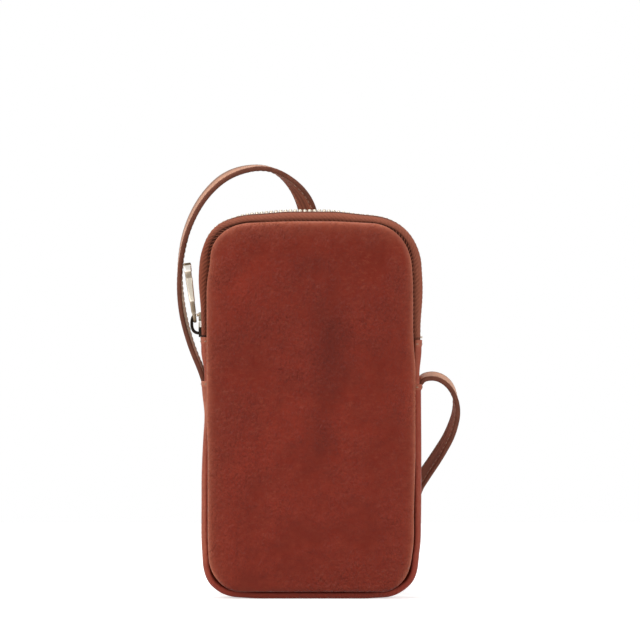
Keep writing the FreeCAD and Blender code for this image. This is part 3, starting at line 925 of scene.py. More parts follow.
class PouchPanels(bpy.types.Operator):
    """Makes the front and back leather panels"""
    bl_idname = "pouch.panels"
    bl_label = "Leather panels"

    def execute(self, context):
        sizes = context.scene.pouch_body
        front = make_panel(sizes, "front_panel", -1)
        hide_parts("front_panel_lower", "front_panel_upper")
        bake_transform(front)
        back = make_panel(sizes, "back_panel_skin", 1)
        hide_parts("back_panel")
        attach(back, "pouch")
        return {"FINISHED"}


# Gusset and zip tabs

# Where a leather band's rounded edges start, and how deep they are for their height
BAND_EDGE = SEAM - 0.0010
EDGE_DEPTH = 0.85
# Columns of the band's section on its rounded front corner, and beside that on its outer face
FRONT_CORNER = range(7, 12)
BESIDE_CORNER = range(12, 16)
# How far below the top of the hem and of the folded tab their stitches run
HEM_STITCH_DROP = 0.0014
FOLD_STITCH_DROP = 0.0020


def hem_top(x):
    """Height of the gusset's hem, which sits higher on the left."""
    return GUSSET_HIGH.z + (0.0025 if x < 0 else 0.0010)


def tab_top(x):
    """Height of the zip tab's folded top, which sits higher on the left."""
    return TAB_HIGH.z + (0.0011 if x < 0 else -0.0002)


def gusset_inset(sizes, point):
    """How far the gusset lies inside the outline: it draws in below its left hem, and its hems stand out."""
    top = hem_top(point.x)
    low = top - sizes.hem_height
    draw = 0.0
    flare = sizes.hem_flare
    if point.x < 0:
        draw = 0.0009 * bell(point.z, 0.0885, 0.0085) + 0.0008 * bell(point.z, 0.079, 0.016)
        flare *= 0.35
    hem = smooth_step(point.z, low - 0.0006, low + 0.0006)
    hem *= 1.0 - 0.5 * smooth_step(point.z, top - 0.0007, top)
    soft = 0.0002 * waves(point.x, 0.3, point.z, 0.02) if point.z > 0.02 else 0.0
    return draw - flare * hem + soft


def tab_inset(point):
    """How far a zip tab lies inside the outline: it narrows downwards, and its folded top stands out."""
    taper = 0.0016 if point.x < 0 else 0.0010
    high = tab_top(point.x)
    fold = 0.0003 * smooth_step(point.z, high - 0.0032, high - 0.0026)
    return -0.0002 + taper * fade(point.z, 0.107, 0.119) - fold


def band_section(sizes, inset, bulge, dent=None):
    """Closed section of a leather band from seam to seam: rounded edges, and a flange behind each seam."""
    roll = SEAM_INSET - inset
    edge = BAND_EDGE
    flange = SEAM_INSET + 0.0034
    side = [(flange, -edge + 0.0020), (SEAM_INSET + 0.0013, -edge + 0.0019),
            (SEAM_INSET + 0.0011, -edge + 0.0014), (SEAM_INSET + 0.0002, -edge + 0.0004)]
    for degrees in range(0, 91, 10):
        angle = math.radians(degrees)
        depth = -edge + EDGE_DEPTH * roll * (1 - math.cos(angle))
        side.append((inset + roll * (1 - math.sin(angle)), depth))
    flat = edge - EDGE_DEPTH * roll
    count = 10
    middle = []
    for index in range(1, count):
        depth = -flat + 2 * flat * index / count
        swell = bulge * (1 - (depth / flat) ** 2)
        middle.append((inset - swell + (dent(depth) if dent else 0.0), depth))
    wall = inset + sizes.leather
    back = [(flange, edge - 0.0026), (wall + 0.0006, edge - 0.0029), (wall, edge - 0.0040)]
    return side + middle + mirrored(side) + back + mirrored(back)


def band_surface(inset, depth):
    """How far in a band's outer face lies at a depth, and how far it leans towards its seam there."""
    roll = SEAM_INSET - inset
    over = max(0.0, abs(depth) - (BAND_EDGE - EDGE_DEPTH * roll)) / EDGE_DEPTH
    height = math.sqrt(max(0.0, roll * roll - over * over))
    return inset + roll - height, math.asin(min(1.0, over / roll))


def gusset_rim(column, point):
    """The gusset is paler on its hems, along its front corner and at the left side's waist: partly wear,
    partly painted highlight, stronger on the left.
    """
    top = hem_top(point.x)
    hem = smooth_step(point.z, top - 0.0030, top - 0.0022)
    above_base = smooth_step(point.z, 0.004, 0.030)
    corner = above_base if column in FRONT_CORNER else 0.0
    if point.x > 0:
        return max(0.4 * hem, 0.10 * corner)
    waist = 0.75 * bell(point.z, 0.090, 0.014)
    outer = 0.40 * above_base if column in BESIDE_CORNER else 0.0
    return max(0.9 * hem, waist, 0.30 * corner, outer)


class PouchGusset(bpy.types.Operator):
    """Makes the gusset with its hems, the zip tabs and their stitches"""
    bl_idname = "pouch.gusset"
    bl_label = "Gusset and zip tabs"

    def execute(self, context):
        sizes = context.scene.pouch_body
        self.make_gusset(sizes)
        for side, name in ((-1, "left_zip_tab"), (1, "right_zip_tab")):
            self.make_tab(sizes, side, name)
        self.make_stitches(sizes)
        return {"FINISHED"}

    def make_gusset(self, sizes):
        """The leather band down the left side, along the base and up the right side."""
        outline = base_run(HALF_WIDTH, hem_top(-1), hem_top(1), sizes.outer_base_radius, 0.0006)
        marks = rounded_base(drawn_in(outline, base_draw))

        def section(_, point, normal):
            return band_section(sizes, gusset_inset(sizes, point), 0.0 if normal.z < -0.5 else 0.0002)

        mesh = swept_band("gusset_skin", marks, section, finish("gusset_leather"),
                          rim=gusset_rim, groove=seam_shade)
        piece = new_piece("gusset_skin", mesh)
        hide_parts("gusset")
        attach(piece, "pouch")

    def make_tab(self, sizes, side, node):
        """The leather tab that covers one end of the zip, with a hollow above the strap's root."""
        low, high = TAB_LOW.z - 0.0012, tab_top(side)
        marks = straight_points((side * HALF_WIDTH, low), (side * HALF_WIDTH, high), (side, 0), 0.0007)
        marks.append((Vector((side * HALF_WIDTH, 0.0, high)), Vector((side, 0, 0))))

        def section(_, point, normal):
            hollow = 0.0022 * fade(point.z, low, low + 0.011)
            return band_section(sizes, tab_inset(point), 0.0001,
                                lambda depth: hollow * bell(depth, 0.0025, 0.0062))

        # The tab is paler all over and most on its folded top: partly wear, partly painted highlight
        def rim(_, point):
            return 0.22 + 0.25 * smooth_step(point.z, high - 0.0034, high - 0.0028)

        mesh = swept_band(node + "_skin", marks, section, finish("gusset_leather"),
                          rim=rim, groove=seam_shade)
        piece = new_piece(node + "_skin", mesh)
        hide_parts(node)
        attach(piece, "pouch")

    def make_stitches(self, sizes):
        """Rows across the hems and the tabs' folds."""
        half_row = 0.0086
        steps = 28
        lines = []
        for side in (-1, 1):
            hem = Vector((side * HALF_WIDTH, 0.0, hem_top(side) - HEM_STITCH_DROP))
            fold = Vector((side * HALF_WIDTH, 0.0, tab_top(side) - FOLD_STITCH_DROP))
            for place, inset in ((hem, gusset_inset(sizes, hem)), (fold, tab_inset(fold))):
                row = []
                for step in range(steps + 1):
                    depth = -half_row + 2 * half_row * step / steps
                    sink, lean = band_surface(inset, depth)
                    facing = Vector((side * math.cos(lean), math.copysign(math.sin(lean), depth), 0.0))
                    row.append((Vector((side * (HALF_WIDTH - sink), depth, place.z)), facing))
                lines.append(row)
        piece = stitched("hem_stitches", lines, 0.0025, (0.0019, 0.0006, 0.0006), "thread")
        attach(piece, "pouch")


# Zip

# Columns of the tape's section: first those tucked behind the panel, then those over its ribbed crest
TUCKED = 3
CREST = 15
# The first of the crest's columns that lie beside the teeth
BY_TEETH = 11


def left_bulge(point):
    """How far the zip swells below its left corner."""
    return 0.0014 * bell(point.z, 0.153, 0.013)


def zip_bulge(point, normal):
    """How far the zip stands out of the outline along its sides."""
    if point.x < 0:
        out = 0.0002 + left_bulge(point)
    else:
        out = 0.0009 * bell(point.z, 0.148, 0.012) - 0.0002 * fade(point.z, 0.130, 0.142)
    return out * (1.0 - max(0.0, normal.z) ** 2)


def slider_room(point):
    """How far the middle of the zip lies behind its two crests on the left, where the slider runs."""
    if point.x > 0:
        return 0.0
    return left_bulge(point) * fade(point.z, 0.164, 0.176)


def tape_section(zip_sizes, side, point, normal, rib):
    """Closed section of one tape half: tucked behind the panel's edge, over a soft crest, to the teeth."""
    bulge = zip_bulge(point, normal)
    middle = bulge - slider_room(point)
    upward = max(0.0, normal.z) ** 2
    seam_inset = SEAM_INSET + (TOP_SEAM_INSET - SEAM_INSET) * upward + panel_draw(point) * (1.0 - upward)
    teeth = 0.0022
    outer = [(seam_inset + 0.0046, SEAM + 0.0006), (seam_inset + 0.0040, SEAM - 0.0012),
             (seam_inset + 0.0024, SEAM - 0.0022)]
    for column, height in enumerate(rib):
        share = column / (len(rib) - 1)
        angle = math.radians(90.0 * share)
        inset = 0.0002 + (seam_inset + 0.0002) * (1 - math.sin(angle)) ** 0.85
        inset -= bulge * smooth_step(share, 0.2, 0.8)
        depth = SEAM - 0.0013 - (SEAM - 0.0066) * (1 - math.cos(angle)) - 0.0009 * bell(share, 0.0, 0.22)
        outer.append((inset - 0.5 * height, depth + height))
    outer += [(0.00018 - middle, 0.0048), (0.00025 - middle, 0.0034), (0.0006 - middle, teeth)]
    inner = [(inset + zip_sizes.tape, max(teeth, depth - 0.4 * zip_sizes.tape))
             for inset, depth in reversed(outer)]
    return [(inset, side * depth) for inset, depth in outer + inner]


def zip_marks(sizes, low, step):
    """The zip's line along the outline from a height on the left to the same height on the right."""
    outline = zip_run(HALF_WIDTH, low, TOP + 0.0003, sizes.outer_top_radius, step)
    return filled_out(bowed(outline, 0.0014, 0.0019, keep_left=True), 0.0007, 0.0004)


def rib_share(column):
    """How high the slanting ribs stand at a column of the crest: full by the panel, faint by the teeth."""
    return 0.10 + 0.90 * fade(column, 5.0, 11.0)


def tape_rim(column, point):
    """The tape is paler along the top as a painted highlight, most by the teeth, and a little paler on the
    right.
    """
    top = (0.27 if column - TUCKED >= BY_TEETH else 0.18) * smooth_step(point.z, 0.166, 0.181)
    return max(top, 0.14 if point.x > 0.03 else 0.0)


def make_tape(context, name, side):
    """One half of the woven tape, with slanting ribs; side is -1 for the front and 1 for the back."""
    zip_sizes, sizes = context.scene.pouch_zip, context.scene.pouch_body
    marks = zip_marks(sizes, TAPE_LOW.z - 0.0008, 0.00035)
    travelled = [0.0]
    for (before, _), (after, _) in zip(marks, marks[1:]):
        travelled.append(travelled[-1] + (after - before).length)

    def rib_wave(index, column):
        """Between 0 in a rib's valley and 1 on its back."""
        return 0.5 + 0.5 * math.sin(2 * math.pi * (travelled[index] / zip_sizes.rib_pitch + 0.24 * column))

    def section(index, point, normal):
        rib = [zip_sizes.rib_height * rib_share(column) * rib_wave(index, column) for column in range(CREST)]
        return tape_section(zip_sizes, side, point, normal, rib)

    def valley(index, column):
        """Painted shade on the tape: in its groove beside the panel, between its ribs, under the tabs and
        beside the teeth along the top.
        """
        place = column - TUCKED
        if place < 0:
            return 0.9
        place = min(place, CREST - 1)
        point, normal = marks[index]
        left = point.x < 0
        if point.z < tab_top(point.x) + 0.0012:
            return 0.95 if left else 0.5
        if place >= BY_TEETH and normal.z > 0.5:
            return 0.65 * smooth_step(normal.z, 0.7, 1.0)
        upward = max(0.0, normal.z)
        reach = 4.5 if left else 3.0
        groove = fade(place, 1.0 + 1.8 * upward, reach + (5.0 - reach) * upward)
        groove *= 0.35 + 0.65 * smooth_step(abs(point.x), 0.018, 0.030)
        ribs = (1.0 - 0.65 * upward ** 3) * (0.75 if point.x < 0.03 else 0.40)
        return max(0.9 * groove, ribs * rib_share(place) * (1.0 - rib_wave(index, place)))

    def weave(index, column):
        threads_per_metre, threads_per_column = 700.0, 0.9
        return travelled[index] * threads_per_metre, (column - TUCKED + 1) * threads_per_column

    mesh = swept_band(name, marks, section, finish("zip_tape"), rim=tape_rim, valley=valley, uvs=weave)
    return new_piece(name, mesh)


class PouchZipTape(bpy.types.Operator):
    """Makes the two woven halves of the zip tape"""
    bl_idname = "pouch.zip_tape"
    bl_label = "Zip tape"

    def execute(self, context):
        front = make_tape(context, "front_tape_skin", -1)
        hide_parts("front_tape", "left_front_tape_end", "right_front_tape_end")
        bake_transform(front)
        back = make_tape(context, "back_tape_skin", 1)
        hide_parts("back_tape")
        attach(back, "pouch")
        return {"FINISHED"}


def tooth_stand(point, normal):
    """How far the teeth stand out of the tape's fold: most at the top's middle, least on the right."""
    middle = plateau(point.x, (-0.042, -0.020), (0.004, 0.022))
    return 0.0003 + 0.0008 * middle * max(0.0, normal.z) ** 1.5 - 0.0001 * smooth_step(point.x, 0.030, 0.045)


def tooth_prototype(side):
    """One tooth: a leg that grips the tape and a rounded head past the middle; side is -1 for the front."""
    work = bmesh.new()
    leg = bmesh.ops.create_cube(work, size=1.0)["verts"]
    bmesh.ops.scale(work, verts=leg, vec=(0.0019, 0.0022, 0.0024))
    bmesh.ops.translate(work, verts=leg, vec=(0.0, side * 0.0019, 0.0))
    head = bmesh.ops.create_uvsphere(work, u_segments=8, v_segments=6, radius=0.5)["verts"]
    bmesh.ops.scale(work, verts=head, vec=(0.00105, 0.0022, 0.0014))
    bmesh.ops.translate(work, verts=head, vec=(0.0, side * 0.00035, -0.0003))
    bmesh.ops.bevel(work, geom=[edge for edge in work.edges if all(vert in leg for vert in edge.verts)],
                    offset=0.00030, segments=2, affect="EDGES")
    return new_piece("tooth", mesh_of(work, "tooth", smooth=True))


class PouchZipTeeth(bpy.types.Operator):
    """Makes the two rows of metal teeth"""
    bl_idname = "pouch.zip_teeth"
    bl_label = "Zip teeth"

    def execute(self, context):
        pitch = context.scene.pouch_zip.tooth_pitch
        sizes = context.scene.pouch_body
        rows = {}
        for side, name in ((-1, "front_teeth_row"), (1, "back_teeth_row")):
            shift = 0.0 if side < 0 else pitch / 2
            sink = 0.0014 if side < 0 else 0.0017
            line = []
            for point, normal in zip_marks(sizes, TAPE_LOW.z + 0.0015 + shift, 0.0006):
                lift = zip_bulge(point, normal) - slider_room(point) + tooth_stand(point, normal) - sink
                line.append((point + normal * lift, normal))
            tooth = tooth_prototype(side)
            rows[name] = repeated(name, [line], pitch, tooth, finish("zip_metal"))
            drop(tooth)
        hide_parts("front_teeth", "front_teeth_ends")
        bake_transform(rows["front_teeth_row"])
        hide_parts("back_teeth")
        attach(rows["back_teeth_row"], "pouch")
        for node in ("zip_top_stops", "zip_bottom_stop"):
            stop = frame["nodes"][node]
            stop.data.materials.clear()
            stop.data.materials.append(finish("zip_metal"))
        return {"FINISHED"}


# Slider and pull tab

def solid_block(work, low, high):
    """A plain block between two corners."""
    corners = bmesh.ops.create_cube(work, size=1.0)["verts"]
    bmesh.ops.scale(work, verts=corners, vec=high - low)
    bmesh.ops.translate(work, verts=corners, vec=(low + high) / 2)


def stacked_block(work, low, high, heights):
    """A block with rings of points at the given heights, so that bands can end there."""
    corners = ((low.x, low.y), (high.x, low.y), (high.x, high.y), (low.x, high.y))
    rings = []
    for height in (low.z, *heights, high.z):
        rings.append([work.verts.new((x, y, height)) for x, y in corners])
    for below, above in zip(rings, rings[1:]):
        for index in range(4):
            following = (index + 1) % 4
            work.faces.new((below[index], below[following], above[following], above[index]))
    work.faces.new(list(reversed(rings[0])))
    work.faces.new(rings[-1])


def bevelled(piece, width, segments=3):
    """Rounds a piece's sharp edges."""
    modifier = piece.modifiers.new("Soft edges", "BEVEL")
    modifier.width = width
    modifier.segments = segments
    modifier.limit_method = "ANGLE"
    modifier.angle_limit = math.radians(35)
    settle(piece)
    piece.data.polygons.foreach_set("use_smooth", [True] * len(piece.data.polygons))
    piece.data.set_sharp_from_angle(angle=math.radians(50))
    return piece


def tarnish(piece, bands):
    """Marks bands of painted reflection on a piece, each from a height to another, with its shade."""
    blur = 0.0001
    shades = []
    for vertex in piece.data.vertices:
        height = vertex.co.z
        shades.append(max(shade * plateau(height, (low - blur, low + blur), (high - blur, high + blur))
                          for low, high, shade in bands))
    mark_points(piece.data, "tarnish", shades)


class PouchSlider(bpy.types.Operator):
    """Makes the zip slider, its crown and the pull tab"""
    bl_idname = "pouch.slider"
    bl_label = "Slider and pull tab"

    def execute(self, context):
        zip_sizes = context.scene.pouch_zip
        body = self.make_body()
        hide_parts("slider_body")
        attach(body, "zip_slider")
        crown = self.make_crown()
        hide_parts("slider_crown")
        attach(crown, "zip_slider")
        pull = self.make_pull(zip_sizes)
        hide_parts("pull_tab")
        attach(pull, "pull_tab")
        return {"FINISHED"}

    def make_body(self):
        """Two plates joined by a post, with a wall along each edge of the outer one."""
        low, high = SLIDER_LOW + Vector((0.0006, 0.0, 0.0)), SLIDER_HIGH
        plate = 0.0008
        wall = 0.0009
        half = high.y
        # Half of a plate's outline, as shares of its half width and of its height
        outline = [(0.30, 0.0), (0.72, 0.10), (1.0, 0.34), (1.0, 0.62), (0.86, 0.90), (0.62, 1.0)]
        rounds = [(share * half, low.z + (high.z - low.z) * rise) for share, rise in outline]
        loop = rounds + [(-depth, height) for depth, height in reversed(rounds)]
        work = bmesh.new()
        for x_low, x_high in ((low.x, low.x + plate), (high.x - plate, high.x)):
            near = [work.verts.new((x_low, depth, height)) for depth, height in loop]
            far = [work.verts.new((x_high, depth, height)) for depth, height in loop]
            work.faces.new(near)
            work.faces.new(list(reversed(far)))
            for index in range(len(loop)):
                following = (index + 1) % len(loop)
                work.faces.new((near[index], far[index], far[following], near[following]))
        solid_block(work, Vector((low.x + plate, -0.0004, low.z + 0.0004)),
                    Vector((high.x - plate, 0.0004, low.z + 0.0034)))
        black_end, line_low, line_high = low.z + 0.0048, low.z + 0.0078, low.z + 0.0084
        heights = [mark + shift for mark in (black_end, line_low, line_high) for shift in (-0.00015, 0.00015)]
        for side in (-1, 1):
            edges = sorted((side * (half - wall), side * half))
            stacked_block(work, Vector((low.x + 0.0001, edges[0], low.z + 0.0002)),
                          Vector((low.x + 0.0021, edges[1], high.z)), heights)
        bmesh.ops.recalc_face_normals(work, faces=work.faces)
        mesh = mesh_of(work, "slider_body_skin")
        mesh.materials.append(finish("slider_metal"))
        body = bevelled(new_piece("slider_body_skin", mesh), 0.00028)
        # Painted reflections on the slider: dark below, a painted highlight band, a dark line, and dim above
        # it
        tarnish(body, [(low.z - 0.001, black_end, 1.0), (line_low, line_high, 0.95),
                       (line_high, high.z + 0.001, 0.68)])
        return body

    def make_crown(self):
        """Arched band from end to end of the outer plate, with a painted highlight on its upper outer part
        and a painted dark reflection elsewhere.
        """
        low, high = CROWN_LOW - Vector((0.0006, 0.0, 0.0)), CROWN_HIGH + Vector((0.0010, 0.0, 0.0))
        bar = 0.0015
        rise = high.x - low.x - bar / 2
        span = (high.z - low.z - bar) / 2
        middle = (high.z + low.z) / 2
        steps = 24
        spine = []
        for step in range(steps + 1):
            angle = math.pi * (step / steps - 0.5)
            out = abs(math.cos(angle)) ** (0.75 if angle < 0 else 0.40)
            along = math.copysign(abs(math.sin(angle)) ** 0.9, math.sin(angle))
            spine.append(Vector((high.x - rise * out, 0.0, middle + span * along)))
        section = oval_section(12, bar / 2, high.y, 0.6, 0.6)
        points = []
        for step in range(steps + 1):
            heading = (spine[min(steps, step + 1)] - spine[max(0, step - 1)]).normalized()
            out = Vector((-heading.z, 0.0, heading.x))
            points.extend(spine[step] + out * across + Vector((0.0, depth, 0.0)) for across, depth in section)
        black = [1.0 - smooth_step(point.z, middle, middle + 0.001) * smooth_step(point.x, -0.0562, -0.0552)
                 for point in points]
        mesh = mesh_from("slider_crown_skin", points, tube_faces(steps + 1, len(section)),
                         finish("slider_metal"), {"tarnish": black})
        return new_piece("slider_crown_skin", mesh)

    def make_pull(self, zip_sizes):
        """Tapered bar with a window at its foot and a waist near its head, leaning out at its rest angle."""
        run = zip_sizes.pull_length
        half = zip_sizes.pull_width / 2
        # Height above the pivot, half thickness and share of the half width
        stations = [
            (-0.0011, 0.00050, 0.80), (-0.0005, 0.00080, 0.86), (0.0036, 0.00092, 0.86),
            (0.0042, 0.00108, 0.86), (0.0088, 0.00114, 0.86), (0.0095, 0.00132, 0.90),
            (0.0202, 0.00168, 0.98), (0.0208, 0.00152, 0.94), (0.0233, 0.00158, 0.95),
            (0.0239, 0.00186, 1.0), (run - 0.0013, 0.00194, 1.0), (run - 0.0009, 0.00194, 1.0),
            (run, 0.00170, 0.94),
        ]
        corners = 24
        points = []
        for height, thick, broad in stations:
            ring = oval_section(corners, thick, half * broad, 0.35, 0.35, first=0.5)
            points.extend(Vector((across, depth, height)) for across, depth in ring)
        faces = tube_faces(len(stations), corners)
        pull = new_piece("pull_tab_skin", mesh_from("pull_tab_skin", points, faces, finish("slider_metal")))
        work = bmesh.new()
        solid_block(work, Vector((-0.01, -0.0014, 0.0001)), Vector((0.01, 0.0014, 0.0050)))
        cutter = new_piece("window", mesh_of(work, "window"))
        window = pull.modifiers.new("Window", "BOOLEAN")
        window.object = cutter
        window.operation = "DIFFERENCE"
        window.solver = "EXACT"
        settle(pull)
        drop(cutter)
        bevelled(pull, 0.00018, 2)
        # Painted reflections along the pull: dark and dim bands, plain metal on its body and a painted
        # highlight below its tip
        tarnish(pull, [(run - 0.0011, run + 0.001, 0.90), (0.0205, 0.0236, 0.62), (0.0094, 0.0205, PLAIN),
                       (0.0040, 0.0094, 0.75), (0.0016, 0.0040, 0.60), (-0.002, -0.0001, 0.95)])
        tilt = Matrix.Rotation(math.radians(-8.0), 4, "Y") @ Matrix.Rotation(math.radians(4.0), 4, "Z")
        pull.data.transform(Matrix.Translation(PULL_PIVOT - Vector((0.0005, 0.0, 0.0))) @ tilt)
        return pull


# Strap

# Points of the route in metres, how the strap lies at each, and its lean round its heading in degrees.
# At 0 it lies with its width front to back, at 1 flat along the back, and at 2 it stands on edge.
LEFT_ROUTE = [
    (-0.0500, 0.0020, 0.0985, 0.0, -4), (-0.0512, 0.0022, 0.1055, 0.0, -6),
    (-0.0583, 0.0066, 0.1215, 0.0, -6), (-0.0628, 0.0102, 0.1390, 0.0, -8),
    (-0.0639, 0.0124, 0.1580, 0.0, 3), (-0.0606, 0.0138, 0.1770, 0.0, 11),
    (-0.0520, 0.0149, 0.1936, 0.0, 15), (-0.0391, 0.0158, 0.2050, 0.0, 18), (-0.0200, 0.0166, 0.2079, 0.0, 3),
    (-0.0062, 0.0174, 0.1970, 0.42, 0), (0.0000, 0.0182, 0.1820, 0.72, 0), (-0.0035, 0.0186, 0.1620, 1.0, 0),
    (-0.0120, 0.0188, 0.1380, 1.0, 0), (-0.0215, 0.0189, 0.1130, 1.0, 0), (-0.0315, 0.0188, 0.0880, 1.0, 0),
    (-0.0395, 0.0186, 0.0650, 1.0, 0), (-0.0440, 0.0189, 0.0460, 1.0, 0), (-0.0452, 0.0196, 0.0332, 1.05, 0),
    (-0.0454, 0.0236, 0.0225, 1.2, 0), (-0.0453, 0.0312, 0.0136, 1.45, 0), (-0.0451, 0.0418, 0.0080, 1.75, 0),
    (-0.0450, 0.0570, 0.0061, 1.95, 0),
]
RIGHT_ROUTE = [
    (0.0508, 0.0021, 0.0983, 0.0, 0), (0.0512, 0.0022, 0.1050, 0.0, 12), (0.0600, 0.0040, 0.1069, 0.0, 16),
    (0.0676, 0.0060, 0.1017, 0.0, 12), (0.0706, 0.0085, 0.0910, 0.10, 0), (0.0673, 0.0116, 0.0788, 0.25, 0),
    (0.0615, 0.0150, 0.0687, 0.31, 0), (0.0557, 0.0186, 0.0599, 0.33, 0), (0.0486, 0.0210, 0.0496, 0.44, 0),
    (0.0456, 0.0240, 0.0342, 0.95, 0), (0.0448, 0.0308, 0.0242, 1.3, 0), (0.0447, 0.0412, 0.0184, 1.65, 0),
    (0.0450, 0.0570, 0.0167, 1.92, 0),
]
# Half turns of the coil: where each starts and ends along X, its side of the middle, its first and last layer
COIL_TURNS = [(-0.045, 0.043, 1, 0.0, 0.0), (0.043, -0.040, -1, 0.0, 0.0), (-0.040, 0.040, 1, 0.0, 1.0),
              (0.040, -0.043, -1, 1.0, 1.0), (-0.043, 0.045, 1, 1.0, 1.0)]


def coil_route():
    """Points of the put-away coil, turn by turn, with the strap on edge."""
    middle = 0.072
    low = 0.0061
    rise = 0.0106
    per_half = 10
    outward = 1.0 / math.cos(math.pi / per_half / 2)
    points = []
    for x_from, x_to, side, layer_from, layer_to in COIL_TURNS:
        centre = (x_from + x_to) / 2
        radius = (x_to - x_from) / 2
        for step in range(per_half):
            angle = math.pi * step / per_half
            scale = outward if step else 1.0
            x = centre - radius * math.cos(angle) * scale
            y = middle + side * abs(radius) * math.sin(angle) * scale
            share = (x - x_from) / (x_to - x_from)
            layer = layer_from + (layer_to - layer_from) * min(1.0, max(0.0, share))
            points.append((x, y, low + layer * rise, 2.0, 0))
    points.append((COIL_TURNS[-1][1], middle, low + rise, 2.0, 0))
    return points


def along_spline(points, resolution):
    """Points read from a smooth spline that has these points as its control points."""
    curve = bpy.data.curves.new("route", "CURVE")
    curve.dimensions = "3D"
    spline = curve.splines.new("NURBS")
    spline.points.add(len(points) - 1)
    for mark, point in zip(spline.points, points):
        mark.co = (*point, 1.0)
    spline.order_u = 3
    spline.use_endpoint_u = True
    spline.resolution_u = resolution
    carrier = bpy.data.objects.new("route", curve)
    bpy.context.scene.collection.objects.link(carrier)
    bpy.context.view_layer.update()
    graph = bpy.context.evaluated_depsgraph_get()
    mesh = bpy.data.meshes.new_from_object(carrier.evaluated_get(graph))
    read = [vertex.co.copy() for vertex in mesh.vertices]
    bpy.data.objects.remove(carrier)
    bpy.data.curves.remove(curve)
    bpy.data.meshes.remove(mesh)
    return read


def strap_frames():
    """Point, width direction and face direction all along the strap."""
    back = [(x, y, z, lie, -lean) for x, y, z, lie, lean in reversed(RIGHT_ROUTE)]
    route = LEFT_ROUTE + coil_route() + back
    resolution = 12
    points = along_spline([mark[:3] for mark in route], resolution)
    poses = along_spline([(*mark[3:], 0.0) for mark in route], resolution)
    frames = []
    for index, (point, pose) in enumerate(zip(points, poses)):
        lie = pose.x
        before = points[max(0, index - 1)]
        after = points[min(len(points) - 1, index + 1)]
        heading = (after - before).normalized()
        if lie < 1.0:
            turn = math.radians(90 * lie)
            across = Vector((-math.sin(turn), math.cos(turn), 0.0))
        else:
            turn = math.radians(90 * min(1.0, lie - 1.0))
            across = Vector((-math.cos(turn), 0.0, math.sin(turn)))
        across = (across - heading * across.dot(heading)).normalized()
        across.rotate(Matrix.Rotation(math.radians(pose.y), 3, heading))
        frames.append((point, across, heading.cross(across).normalized()))
    return frames


